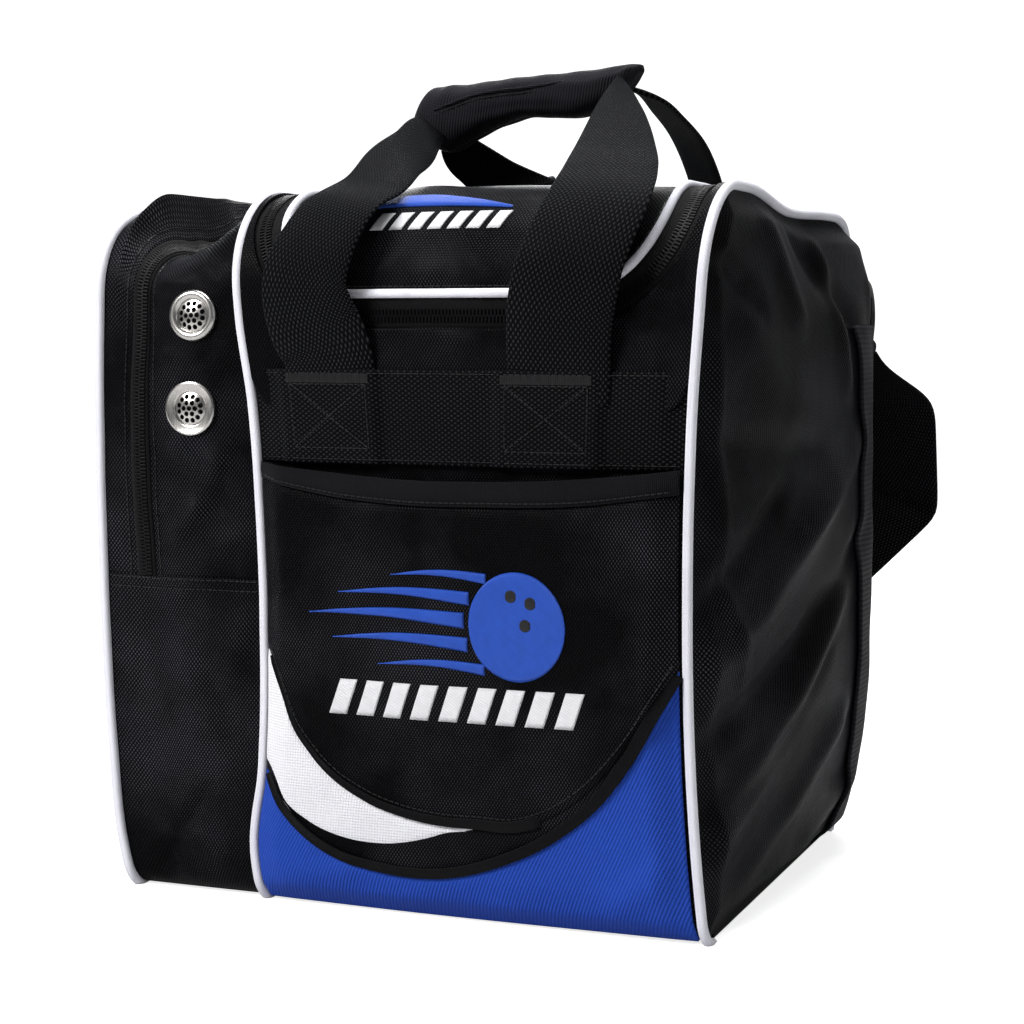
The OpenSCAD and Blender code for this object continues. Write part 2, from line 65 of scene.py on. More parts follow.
# Radii of the side outline: top front, top back, and both lower edges
FRONT_R = 50 * MM
BACK_R = 45 * MM
FOOT_R = 12 * MM

# Thickness of the padded cloth, thinner cloth, zip tape and webbing
FABRIC = 2.4 * MM
THIN_CLOTH = 1.6 * MM
TAPE_THICK = 0.8 * MM
WEB = 2.0 * MM

# The lid's zip: its distance from the side seams, the height of its front run, and the
# radius of its front corners
ZIP_INSET = 11 * MM
LIP_Z = 304 * MM
LID_CORNER = 55 * MM
SHOE_ZIP_X = (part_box("shoe_zip_teeth")[0].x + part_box("shoe_flap_zip_teeth")[1].x) / 2

# ---- the bag's form ------------------------------------------------------------------------

# Stretches of the side outline, in order: front foot, front, top front edge, top, top back
# edge, back, back foot
FOOT_ARC = FOOT_R * math.pi / 2
FRONT_RUN = HEIGHT - FRONT_R - FOOT_R
FRONT_ARC = FRONT_R * math.pi / 2
TOP_RUN = 2 * HALF_DEPTH - FRONT_R - BACK_R
BACK_ARC = BACK_R * math.pi / 2
BACK_RUN = HEIGHT - BACK_R - FOOT_R
S_FRONT_TOP = FOOT_ARC + FRONT_RUN
S_TOP = S_FRONT_TOP + FRONT_ARC
S_TOP_END = S_TOP + TOP_RUN
S_BACK = S_TOP_END + BACK_ARC
S_BACK_LOW = S_BACK + BACK_RUN
S_END = S_BACK_LOW + FOOT_ARC
S_HINGE = S_TOP_END + (HINGE_Y - (HALF_DEPTH - BACK_R))


def s_at_front(z):
    """Distance along the outline of a point on the front, given its height."""
    z = np.asarray(z, float)
    over = np.clip((z - (HEIGHT - FRONT_R)) / FRONT_R, 0, 1)
    return FOOT_ARC + np.minimum(z, HEIGHT - FRONT_R) - FOOT_R + FRONT_R * np.arcsin(over)


def outline(s, out=0.0):
    """Points (y, z) of the side outline at distance s, moved outwards by out."""
    s, out = np.broadcast_arrays(np.asarray(s, float), np.asarray(out, float))
    y = np.empty(s.shape)
    z = np.empty(s.shape)
    d, h = HALF_DEPTH, HEIGHT

    def arc(part, centre, radius, start, begin):
        angle = start - (s[part] - begin) / radius
        y[part] = centre[0] + (radius + out[part]) * np.cos(angle)
        z[part] = centre[1] + (radius + out[part]) * np.sin(angle)

    foot = s < FOOT_ARC
    arc(foot, (-d + FOOT_R, FOOT_R), FOOT_R, -math.pi / 2, 0)
    front = (s >= FOOT_ARC) & (s < S_FRONT_TOP)
    y[front] = -d - out[front]
    z[front] = FOOT_R + s[front] - FOOT_ARC
    arc((s >= S_FRONT_TOP) & (s < S_TOP), (-d + FRONT_R, h - FRONT_R), FRONT_R, math.pi, S_FRONT_TOP)
    top = (s >= S_TOP) & (s < S_TOP_END)
    y[top] = -d + FRONT_R + s[top] - S_TOP
    z[top] = h + out[top]
    arc((s >= S_TOP_END) & (s < S_BACK), (d - BACK_R, h - BACK_R), BACK_R, math.pi / 2, S_TOP_END)
    back = (s >= S_BACK) & (s < S_BACK_LOW)
    y[back] = d + out[back]
    z[back] = h - BACK_R - (s[back] - S_BACK)
    arc(s >= S_BACK_LOW, (d - FOOT_R, FOOT_R), FOOT_R, 0, S_BACK_LOW)
    return y, z


def smooth(t):
    """Eases from 0 to 1 as t runs from 0 to 1."""
    t = np.clip(t, 0, 1)
    return t * t * (3 - 2 * t)


def curve_at(x, knots):
    """A smooth curve through a few (place, value) knots, held level beyond its ends."""
    px, pv = np.array(knots, float).T
    slope = np.gradient(pv, px)
    i = np.clip(np.searchsorted(px, x) - 1, 0, len(px) - 2)
    w = px[i + 1] - px[i]
    t = np.clip((x - px[i]) / w, 0, 1)
    t2, t3 = t * t, t * t * t
    return (
        (2 * t3 - 3 * t2 + 1) * pv[i] + (t3 - 2 * t2 + t) * w * slope[i]
        + (3 * t2 - 2 * t3) * pv[i + 1] + (t3 - t2) * w * slope[i + 1]
    )


# How the three seams wander sideways with height, in millimetres
OUTER_SHIFT = [(0, 12), (30, 5), (75, 1), (130, -2), (240, -4), (320, -3), (367, 0)]
INNER_SHIFT = [(0, 4), (26, 0), (70, 5), (150, 7), (210, 5), (262, 1), (300, -5), (367, -9)]
ZIP_SHIFT = [(168, 4.5), (215, 3), (250, 2.5), (300, 6), (335, 5.5)]
RIGHT_SHIFT = [(0, 0), (25, -3), (72, -7), (174, -10), (264, -8), (323, -4), (367, -2)]

# Creases as (start, end, width, height) in millimetres. The ends are (x, z) on the front and
# back, and (x, y) on the top.
FRONT_CREASES = [
    ((-150, 40), (-95, 20), 7, 3.0), ((-160, 95), (-100, 130), 14, 3.0), ((-120, 150), (-86, 60), 9, -2.5),
    ((-150, 10), (-110, 55), 6, -3.0), ((-92, 330), (-112, 285), 6, 2.2), ((-88, 300), (-128, 232), 7, 2.4),
    ((-135, 230), (-92, 200), 8, -2.0), ((-132, 330), (-95, 345), 7, 2.5), ((-125, 190), (-95, 240), 7, 2.0),
    ((-60, 300), (-30, 286), 6, 1.6), ((130, 300), (155, 345), 7, 2.0), ((118, 290), (156, 308), 6, -1.8),
    ((-8, 322), (18, 346), 7, 2.2), ((58, 320), (34, 350), 7, 2.2), ((14, 316), (34, 318), 6, -1.8),
    ((20, 296), (50, 289), 5, 1.2), ((150, 285), (120, 296), 5, 1.4),
    ((-136, 338), (-112, 326), 4, 2.0), ((-106, 338), (-90, 318), 4, 2.2), ((-130, 284), (-112, 278), 4, 1.8),
    ((-104, 272), (-90, 286), 4, 1.6), ((-134, 246), (-98, 222), 6, 2.2), ((-90, 244), (-104, 206), 5, -2.2),
    ((-128, 186), (-112, 204), 5, 1.8), ((-110, 178), (-92, 190), 5, 1.8), ((-140, 140), (-96, 168), 8, -2.6),
    ((-100, 110), (-90, 150), 6, 2.2),
]
TOP_CREASES = [
    ((-150, -70), (-95, -95), 7, 3.0), ((-155, -20), (-90, -45), 9, 2.5), ((-140, 40), (-90, 20), 8, 2.0),
    ((-30, -60), (20, -100), 8, 1.5), ((60, -40), (100, -90), 9, 1.6), ((0, 30), (90, 55), 10, 1.5),
]


def ridges(a, b, creases):
    """Sum of soft ridges: each follows a line and fades at its ends. a and b in millimetres."""
    total = np.zeros(np.shape(a))
    for (a0, b0), (a1, b1), width, high in creases:
        da, db = a1 - a0, b1 - b0
        length = math.hypot(da, db)
        along = ((a - a0) * da + (b - b0) * db) / length ** 2
        bend = 0.10 * length * (along - 0.5) ** 2
        across = ((a - a0) * db - (b - b0) * da) / length + bend
        fade = smooth(along * 3 + 0.6) * smooth((1 - along) * 3 + 0.6)
        total += high * fade * np.exp(-((across / width) ** 2))
    return total


def ripple(a, b, size, seed):
    """Gentle, repeatable unevenness from a few crossed waves. a, b and size in millimetres."""
    rng = np.random.default_rng(seed)
    total = np.zeros(np.shape(a))
    for _ in range(7):
        angle, phase = rng.uniform(0, math.pi), rng.uniform(0, 2 * math.pi)
        wave = size * rng.uniform(0.6, 1.7)
        total += np.sin((a * math.cos(angle) + b * math.sin(angle)) * 2 * math.pi / wave + phase)
    return total / 7


# How far the cloth swells between seams, in millimetres
SHOE_FULL = 5.0
SHOE_BACK_FULL = 0.4
MAIN_FULL = 4.5

# How the top sinks and rises, in millimetres
CROWN = 5.0
SHOE_DIP = 33.0
SHOE_EDGE_DROP = 7.0
SHOE_EDGE_RIDGE = 4.5
RIGHT_SEAM_DIP = 8.5
REAR_DROP = 3.0
REAR_CORNER_OUT = 10.0
REAR_CORNER_UP = 2.0

# The cloth lies flat round the eyelets: their (x, z) and the flat spot's radius, in millimetres
EYELET_SPOTS = [(-112, 305), (-112, 256)]
SPOT_R = 20

# Where the straight back of the bag begins, and over what depth, in millimetres
BACK_FROM = 60
BACK_OVER = 70


def half_wave(t):
    """0 at both ends of a run from 0 to 1, and 1 in its middle."""
    return np.sin(math.pi * t)


def sideways(x, ymm, zmm, in_shoe, shoe_t, main_t):
    """How far the wandering seams and the zip carry the cloth sideways."""
    outer, inner, right = (curve_at(zmm, knots) * MM for knots in (OUTER_SHIFT, INNER_SHIFT, RIGHT_SHIFT))
    at_back = smooth((ymm - BACK_FROM) / BACK_OVER)
    outer, inner = outer * (1 - at_back), inner * (1 - at_back)
    near_zip = np.exp(-(((x - SHOE_ZIP_X) / MM / 16) ** 2)) * smooth((10 - ymm) / 50)
    seams = np.where(in_shoe, outer + (inner - outer) * shoe_t, inner + (right - inner) * main_t)
    return seams + curve_at(zmm, ZIP_SHIFT) * MM * near_zip


def outwards(x, y, z, in_shoe, bay):
    """How far the front or back stands out with its fullness and its creases."""
    zmm = z / MM
    fullness = np.where(in_shoe, np.where(y > 0, SHOE_BACK_FULL, SHOE_FULL), MAIN_FULL) * MM
    creases = ridges(x / MM, zmm, FRONT_CREASES) + 1.1 * ripple(x / MM, zmm, 46, 3)
    creases *= np.where(y > 0, np.where(in_shoe, 0.05, 0.35), 1.0)
    for eye_x, eye_z in EYELET_SPOTS:
        creases *= 1 - np.exp(-(((x / MM - eye_x) ** 2 + (zmm - eye_z) ** 2) / SPOT_R ** 2))
    rise = half_wave(np.clip(z / HEIGHT, 0, 1)) ** 0.7
    return fullness * bay * rise + creases * MM * (0.25 + 0.75 * bay) * smooth(z / (12 * MM))


def upwards(x, ymm, in_shoe, bay, shoe_t, main_t):
    """How far the top stands up, in millimetres: the shoe side sags and the lid is crowned."""
    off_seam = (x - SEAM_OUTER) / MM
    dip = SHOE_DIP * half_wave(np.clip(shoe_t / 0.9 - 0.11, 0, 1) ** 0.62) * np.exp(-(((ymm + 72) / 74) ** 2))
    drop = SHOE_EDGE_DROP * smooth((9 - off_seam) / 9) * smooth((ymm + 140) / 40)
    ridge = SHOE_EDGE_RIDGE * np.exp(-((off_seam - 9) / 5.5) ** 2) * smooth((ymm + 118) / 40)
    crown = CROWN * bay ** 2.4 * np.cos(np.clip(ymm / 150, -1, 1) * math.pi / 2)
    seam_dip = RIGHT_SEAM_DIP * smooth((main_t - 0.80) / 0.20) * smooth((ymm + 62) / 85)
    rear = REAR_DROP * smooth((ymm - BACK_FROM) / BACK_OVER)
    return np.where(in_shoe, ridge - dip - drop, crown - seam_dip) - rear + ridges(x / MM, ymm, TOP_CREASES)


def soft(points):
    """Moves points of the ideal bag to where the real fabric sits: pinched seams, full panels,
    a sagging top and creases. Every sewn piece goes through it, so neighbours stay together."""
    p = np.array(points, float)
    x, y, z = p[..., 0].copy(), p[..., 1].copy(), p[..., 2].copy()
    ymm = y / MM
    in_shoe = x < SEAM_INNER
    shoe_t = np.clip((x - SEAM_OUTER) / (SEAM_INNER - SEAM_OUTER), 0, 1)
    main_t = np.clip((x - SEAM_INNER) / (SEAM_RIGHT - SEAM_INNER), 0, 1)
    bay = np.where(in_shoe, half_wave(shoe_t), half_wave(main_t)) ** 0.8
    face = smooth((np.abs(y) / HALF_DEPTH - 0.72) / 0.28)
    high = smooth((z - 0.78 * HEIGHT) / (0.22 * HEIGHT))
    rear_corner = smooth((main_t - 0.82) / 0.18) * smooth((ymm - 35) / 75) * high
    p[..., 0] += sideways(x, ymm, z / MM, in_shoe, shoe_t, main_t) + REAR_CORNER_OUT * MM * rear_corner
    p[..., 1] += np.sign(y) * face * (1 - 0.6 * high) * outwards(x, y, z, in_shoe, bay)
    p[..., 2] += high * MM * upwards(x, ymm, in_shoe, bay, shoe_t, main_t) + REAR_CORNER_UP * MM * rear_corner
    return p


def on_bag(x, s, out=0.0):
    """Points on the soft bag's wrap at x and distance s, standing out by out."""
    x, s, out = np.broadcast_arrays(np.asarray(x, float), np.asarray(s, float), np.asarray(out, float))
    y, z = outline(s, out)
    return soft(np.stack([x, y, z], axis=-1))


# ---- mesh makers ---------------------------------------------------------------------------


def new_object(name, data):
    """A new object in the scene."""
    made = bpy.data.objects.new(name, data)
    bpy.context.scene.collection.objects.link(made)
    return made


def new_mesh(name, verts, faces, smooth_faces=True):
    mesh = bpy.data.meshes.new(name)
    mesh.from_pydata([tuple(v) for v in verts], [], [tuple(int(i) for i in f) for f in faces])
    mesh.polygons.foreach_set("use_smooth", np.full(len(mesh.polygons), smooth_faces))
    return mesh


def add_mesh(name, verts, faces, uv, look, body, replaces=(), sharp=40):
    """A new piece from vertices, faces and one UV per vertex, in millimetres."""
    mesh = new_mesh(name, verts, faces)
    layer = mesh.uv_layers.new(name="UVMap")
    loops = np.empty(len(mesh.loops), np.int32)
    mesh.loops.foreach_get("vertex_index", loops)
    layer.data.foreach_set("uv", np.asarray(uv, np.float32)[loops].ravel())
    mesh.set_sharp_from_angle(angle=math.radians(sharp))
    piece = new_object(name, mesh)
    mesh.materials.append(look)
    if body:
        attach(piece, body)
    if replaces:
        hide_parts(*replaces)
    return piece


def grid_faces(rows, cols, flip=False):
    r, c = np.meshgrid(np.arange(rows - 1), np.arange(cols - 1), indexing="ij")
    a = (r * cols + c).ravel()
    quad = np.stack([a, a + 1, a + cols + 1, a + cols], axis=1)
    return quad[:, ::-1] if flip else quad


def cloth_grid(name, points, uv, look, body, replaces=(), thickness=FABRIC, flip=False):
    """A sheet over a grid of points, given its thickness inwards from the outer face."""
    rows, cols = points.shape[:2]
    piece = add_mesh(name, points.reshape(-1, 3), grid_faces(rows, cols, flip), uv.reshape(-1, 2),
                     look, body, replaces)
    solid = piece.modifiers.new("thickness", "SOLIDIFY")
    solid.thickness = thickness
    solid.offset = -1.0
    solid.use_even_offset = False
    return piece


def wrap_grid(name, xs, ss, look, body, replaces=(), out=0.0):
    """A panel of the wrap: xs across, ss along the outline. xs may be an array per row."""
    xs = np.asarray(xs, float)
    x = xs if xs.ndim == 2 else np.broadcast_to(xs, (len(ss), len(xs)))
    s = np.broadcast_to(ss[:, None], x.shape)
    uv = np.stack([x, s], axis=-1) / MM
    return cloth_grid(name, on_bag(x, s, out), uv, look, body, replaces)


def unit(rows):
    """Vectors scaled to length 1."""
    return rows / np.linalg.norm(rows, axis=-1, keepdims=True)


def frames_along(path):
    """Unit tangents of a polyline."""
    return unit(np.gradient(np.asarray(path, float), axis=0))


def run_length(path):
    """Distance along a polyline at each of its points."""
    return np.concatenate([[0], np.cumsum(np.linalg.norm(np.diff(path, axis=0), axis=1))])


def sample(rows, length, at):
    """Rows of numbers, given at the distances length, taken at other distances."""
    return np.stack([np.interp(at, length, rows[:, i]) for i in range(rows.shape[1])], axis=1)


def swept_faces(rings, sides):
    """Faces of a closed skin through equal rings of vertices, with a cap at each end."""
    faces = [
        (i * sides + k, i * sides + (k + 1) % sides, (i + 1) * sides + (k + 1) % sides, (i + 1) * sides + k)
        for i in range(rings - 1) for k in range(sides)
    ]
    faces.append(tuple(range(sides))[::-1])
    faces.append(tuple(range((rings - 1) * sides, rings * sides)))
    return faces


def tube(name, path, radius, look, body, replaces=(), sides=12, up=(0, 0, 1), flat=1.0):
    """A round or flattened tube along a path, with closed ends."""
    path = np.asarray(path, float)
    tangent = frames_along(path)
    side = unit(np.cross(np.broadcast_to(np.asarray(up, float), path.shape), tangent))
    lift = np.cross(tangent, side)
    radius = np.broadcast_to(np.asarray(radius, float), (len(path),))
    angle = np.linspace(0, 2 * math.pi, sides, endpoint=False)
    ring = (np.cos(angle)[None, :, None] * side[:, None, :]
            + flat * np.sin(angle)[None, :, None] * lift[:, None, :])
    verts = (path[:, None, :] + radius[:, None, None] * ring).reshape(-1, 3)
    around = angle[None, :] * radius[:, None]
    uv = np.stack([around, np.broadcast_to(run_length(path)[:, None], around.shape)], axis=-1) / MM
    return add_mesh(name, verts, swept_faces(len(path), sides), uv.reshape(-1, 2), look, body, replaces,
                    sharp=60)


# A webbing's cross-section with rolled edges, as (across, up) from -1 to 1
WEB_TOP = [(-1, 0), (-0.985, 0.6), (-0.94, 1), (-0.5, 1), (0, 1), (0.5, 1), (0.94, 1), (0.985, 0.6)]
WEB_SECTION = WEB_TOP + [(-across, -up) for across, up in WEB_TOP]
WEB_UV_HALF = 25


def webbing(name, path, across, widths, look, body, replaces=(), thickness=WEB, cup=0.0):
    """A flat strap swept along a path. across is its width direction at each point, and cup is
    how far its middle bows up."""
    path = np.asarray(path, float)
    tangent = frames_along(path)
    across = np.broadcast_to(np.asarray(across, float), path.shape)
    across = unit(across - (across * tangent).sum(1)[:, None] * tangent)
    up = np.cross(across, tangent)
    widths = np.broadcast_to(np.asarray(widths, float), (len(path),))
    section = np.array(WEB_SECTION)
    bow = cup * (1 - section[:, 0] ** 2)
    verts = (
        path[:, None, :]
        + across[:, None, :] * (section[None, :, 0] * widths[:, None] / 2)[..., None]
        + up[:, None, :] * (section[:, 1] * thickness / 2 + bow)[None, :, None]
    )
    u = section[:, 0] * WEB_UV_HALF
    uv = np.stack(np.broadcast_arrays(u[None, :], run_length(path)[:, None] / MM), axis=-1)
    return add_mesh(name, verts.reshape(-1, 3), swept_faces(len(path), len(section)), uv.reshape(-1, 2), look,
                    body, replaces, sharp=60)


def spline(knots, count):
    """A smooth path through knots, each a row of numbers, at evenly spaced places."""
    k = np.array(knots, float)
    t = run_length(k[:, :3])
    at = np.linspace(0, t[-1], count)
    return np.stack([curve_at(at, np.stack([t, k[:, i]], axis=1)) for i in range(k.shape[1])], axis=1)


def join_bars(name, centres, along, across, up, size, look, body, replaces=()):
    """Many small rounded bars in one piece: zip teeth and stitches. size is (along, across, up)."""
    ring = [(-1, -0.55), (-0.55, -1), (0.55, -1), (1, -0.55), (1, 0.55), (0.55, 1), (-0.55, 1), (-1, 0.55)]
    corners = np.array([(end, p, q) for end in (-1, 1) for p, q in ring]) * (np.array(size) / 2)
    verts = centres[:, None, :] + sum(
        corners[None, :, i:i + 1] * axis[:, None, :] for i, axis in enumerate((along, across, up))
    )
    one = [(k, (k + 1) % 8, 8 + (k + 1) % 8, 8 + k) for k in range(8)]
    one += [tuple(range(8))[::-1], tuple(range(8, 16))]
    faces = [tuple(16 * i + k for k in f) for i in range(len(verts)) for f in one]
    flat = verts.reshape(-1, 3)
    return add_mesh(name, flat, faces, flat[:, [0, 2]] / MM, look, body, replaces, sharp=70)


def shaped_copy(name, node, look, body, move, bevel):
    """A rounded copy of a rigid CAD piece, set down where the soft fabric has moved to."""
    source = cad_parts[node].data
    verts = np.array([v.co for v in source.vertices]) + np.asarray(move, float)
    faces = [tuple(p.vertices) for p in source.polygons]
    piece = add_mesh(name, verts, faces, verts[:, [0, 2]] / MM, look, body, (node,), sharp=35)
    weld = piece.modifiers.new("weld", "WELD")
    weld.merge_threshold = 1e-5
    edge = piece.modifiers.new("edge", "BEVEL")
    edge.width = bevel
    edge.segments = 3
    edge.limit_method = "ANGLE"
    edge.angle_limit = math.radians(35)
    edge.use_clamp_overlap = True
    return piece


def bake_modifiers(piece):
    """Replaces a piece's mesh by what its modifiers make of it."""
    graph = bpy.context.evaluated_depsgraph_get()
    mesh = bpy.data.meshes.new_from_object(piece.evaluated_get(graph))
    piece.modifiers.clear()
    piece.data = mesh
    return piece


# ---- materials -----------------------------------------------------------------------------


class Shader:
    """A small helper that builds a node material."""

    def __init__(self, name, **fixed):
        self.mat = bpy.data.materials.new(name)
        self.mat.use_nodes = True
        self.nodes = self.mat.node_tree.nodes
        self.links = self.mat.node_tree.links
        self.bsdf = self.nodes["Principled BSDF"]
        for socket, value in fixed.items():
            self.bsdf.inputs[socket.replace("_", " ")].default_value = value

    def node(self, kind, inputs=(), **settings):
        """A new node; inputs are numbers to set or sockets to link."""
        made = self.nodes.new(kind)
        for key, value in settings.items():
            setattr(made, key, value)
        for key, value in dict(inputs).items():
            if isinstance(value, bpy.types.NodeSocket):
                self.links.new(value, made.inputs[key])
            else:
                made.inputs[key].default_value = value
        return made

    def math(self, op, a, b=0.0, clamp=False):
        """A math node's result. math.pi and the like still mean the module."""
        return self.node("ShaderNodeMath", {0: a, 1: b}, operation=op, use_clamp=clamp).outputs[0]

    def uv(self, turn=0.0, scale=(1, 1, 1)):
        coord = self.node("ShaderNodeTexCoord").outputs["UV"]
        inputs = {"Vector": coord, "Rotation": (0, 0, turn), "Scale": scale}
        return self.node("ShaderNodeMapping", inputs).outputs[0]

    def place(self):
        return self.node("ShaderNodeTexCoord").outputs["Object"]

    def noise(self, vector, scale, detail=3.0, rough=0.55):
        inputs = {"Vector": vector, "Scale": scale, "Detail": detail, "Roughness": rough}
        return self.node("ShaderNodeTexNoise", inputs).outputs["Fac"]

    def wave(self, vector, pitch, axis=0, sharp=1.0):
        """A rounded ridge every pitch millimetres across one UV axis, from 0 to 1."""
        split = self.node("ShaderNodeSeparateXYZ", {0: vector}).outputs[axis]
        turned = self.math("MULTIPLY", split, 2 * math.pi / pitch)
        half = self.math("MULTIPLY_ADD", self.math("SINE", turned), 0.5)
        half.node.inputs[2].default_value = 0.5
        return self.math("POWER", half, sharp) if sharp != 1.0 else half

    def lattice(self, wide, tall):
        """Staggered dots, wide apart along a row and tall from row to row, in millimetres."""
        pitch = wide * tall / math.hypot(tall, wide / 2)
        lean = math.atan2(wide / 2, tall)
        return self.math("MULTIPLY", self.wave(self.uv(lean), pitch), self.wave(self.uv(-lean), pitch))

    def mix(self, share, low, high):
        made = self.node("ShaderNodeMix", data_type="RGBA")
        for index, value in ((0, share), (6, low), (7, high)):
            if isinstance(value, bpy.types.NodeSocket):
                self.links.new(value, made.inputs[index])
            else:
                made.inputs[index].default_value = value if index == 0 else (*value, 1)
        return made.outputs[2]

    def span(self, value, low, high):
        """Stretches a value from 0 to 1 over low to high."""
        inputs = {"Value": value, "To Min": low, "To Max": high}
        return self.node("ShaderNodeMapRange", inputs).outputs[0]

    def bump(self, height, strength, depth, under=None):
        inputs = {"Strength": strength, "Distance": depth, "Height": height}
        if under is not None:
            inputs["Normal"] = under
        return self.node("ShaderNodeBump", inputs).outputs[0]

    def finish(self, color=None, rough=None, normal=None):
        for socket, value in (("Base Color", color), ("Roughness", rough), ("Normal", normal)):
            if value is not None:
                self.links.new(value, self.bsdf.inputs[socket])
        return self.mat


def nylon(name, dark, light):
    """Pack cloth: a fine diamond weave and a cool sheen. The weave's dots carry painted glints of light on
    the yarn crowns, lit only in cloudy patches of painted sheen.
    """
    s = Shader(name, Sheen_Weight=0.012, Sheen_Roughness=0.42, Sheen_Tint=(0.55, 0.6, 0.75, 1),
               Specular_IOR_Level=0.035)
    weave = s.lattice(1.8, 1.3)
    dots = s.math("POWER", weave, 1.4)
    cloud = s.noise(s.place(), 11.0, 4.0)
    wear_and_sheen = s.noise(s.place(), 32.0, 5.0, 0.6)
    crumple = s.noise(s.place(), 60.0, 4.0, 0.6)
    # Painted sheen: the dots are lit only in cloudy patches, as where light glances off creased cloth; the
    # same noise also varies the roughness
    painted_sheen = s.math("MULTIPLY", s.span(cloud, -1.9, 2.5), s.span(wear_and_sheen, 0.1, 1.6), clamp=True)
    # The dots' light colour is a painted glint on the yarn crowns
    tone = s.math("MULTIPLY", dots, s.math("ADD", painted_sheen, 0.05))
    rough = s.math("ADD", s.span(wear_and_sheen, 0.28, 0.40), s.math("MULTIPLY", weave, -0.06))
    folds = s.bump(crumple, 0.35, 1.6 * MM)
    return s.finish(s.mix(tone, dark, light), rough, s.bump(weave, 1.0, 0.4 * MM, folds))


def webbing_look(name, dark, light):
    """Belt webbing: staggered yarn knots with deep gaps, fuzzy in patches. The knots carry painted glints of
    light, brighter in some patches than in others.
    """
    s = Shader(name, Sheen_Weight=0.04, Sheen_Roughness=0.5, Sheen_Tint=(0.6, 0.65, 0.8, 1),
               Specular_IOR_Level=0.03)
    knots = s.math("POWER", s.lattice(2.4, 1.8), 1.5)
    rib = s.wave(s.uv(), 2.4, 0)
    height = s.math("ADD", knots, s.math("MULTIPLY", rib, 0.2))
    cloud = s.noise(s.place(), 30.0, 4.0)
    fuzz = s.noise(s.place(), 900.0, 2.0)
    # Painted glints: the knots are lighter than the gaps, more in some patches than in others
    tone = s.math("MULTIPLY", knots, s.span(cloud, 0.45, 1.5))
    color = s.mix(tone, dark, light)
    rough = s.span(fuzz, 0.52, 0.74)
    return s.finish(color, rough, s.bump(height, 1.0, 0.6 * MM))


def ribbed(name, dark, light, pitch, turn=0.0, cross=0.5):
    """A ribbed cloth: pitch in millimetres from rib to rib, cross the share of its cross yarn."""
    s = Shader(name, Sheen_Weight=0.03, Sheen_Roughness=0.4, Specular_IOR_Level=0.06)
    rib = s.wave(s.uv(turn), pitch, 0)
    yarn = s.wave(s.uv(turn), pitch * 0.9, 1)
    weave = s.math("ADD", s.math("MULTIPLY", rib, 1 - cross), s.math("MULTIPLY", yarn, cross))
    cloud = s.noise(s.place(), 22.0, 5.0)
    grime = s.noise(s.place(), 9.0, 6.0, 0.7)
    tone = s.math("MULTIPLY", s.span(weave, 0.5, 1.0), s.span(cloud, 0.75, 1.15))
    tone = s.math("MULTIPLY", tone, s.span(grime, 0.85, 1.1))
    color = s.mix(tone, dark, light)
    rough = s.span(cloud, 0.5, 0.72)
    under = s.bump(cloud, 0.25, 1.2 * MM)
    return s.finish(color, rough, s.bump(weave, 0.9, 0.4 * MM, under))


def knit(name, dark, light):
    """Piping cord cover: a bias knit that wraps round the cord, a little soiled."""
    s = Shader(name, Sheen_Weight=0.05, Sheen_Roughness=0.4, Specular_IOR_Level=0.2)
    left = s.wave(s.uv(math.radians(45)), 1.1, 1)
    right = s.wave(s.uv(math.radians(-45)), 1.1, 1)
    loops = s.math("MAXIMUM", left, right)
    soil = s.noise(s.place(), 35.0, 6.0, 0.7)
    tone = s.math("MULTIPLY", s.span(loops, 0.6, 1.0), s.span(soil, 0.62, 1.15))
    return s.finish(s.mix(tone, dark, light), s.span(soil, 0.5, 0.8), s.bump(loops, 0.5, 0.25 * MM))


def metal(name, dark, light, rough, metallic=1.0, coat=0.0):
    """Plated or enamelled metal: brushed streaks and small dents."""
    scratch = 220.0
    s = Shader(name, Metallic=metallic, Coat_Weight=coat, Coat_Roughness=0.18)
    brushed = s.node("ShaderNodeMapping", {"Vector": s.place(), "Scale": (1, 1, 0.08)}).outputs[0]
    streak = s.noise(brushed, scratch * 6, 4.0)
    dents = s.noise(s.place(), scratch, 3.0)
    color = s.mix(s.span(dents, 0.1, 0.9), dark, light)
    return s.finish(color, s.span(streak, *rough), s.bump(dents, 0.2, 0.15 * MM))


def plastic(name, dark, light, rough, grain=500.0, coat=0.0, specular=0.4):
    """Moulded plastic or foam: a fine grain and rubbed patches."""
    s = Shader(name, Coat_Weight=coat, Specular_IOR_Level=specular)
    fine = s.noise(s.place(), grain, 3.0)
    rubbed = s.noise(s.place(), grain * 0.06, 5.0)
    color = s.mix(s.span(rubbed, 0.0, 1.0), dark, light)
    return s.finish(color, s.span(rubbed, *rough), s.bump(fine, 0.35, 0.2 * MM))


def thread(name, dark, light, turn=0.0, pitch=0.7):
    """Satin embroidery: close parallel threads with a silky shine."""
    s = Shader(name, Sheen_Weight=0.05, Sheen_Roughness=0.3)
    lay = s.wave(s.uv(turn), pitch, 0)
    uneven = s.noise(s.place(), 160.0, 4.0)
    tone = s.math("MULTIPLY", s.span(lay, 0.45, 1.0), s.span(uneven, 0.6, 1.3))
    return s.finish(s.mix(tone, dark, light), s.span(uneven, 0.32, 0.5), s.bump(lay, 0.8, 0.25 * MM))


# The light colours of the black nylon and the lining are painted glints on the weave's dots
BLACK = nylon("nylon_black", (0.0006, 0.0006, 0.0009), (0.070, 0.070, 0.088))
LINING = nylon("nylon_lining", (0.002, 0.002, 0.003), (0.045, 0.045, 0.055))
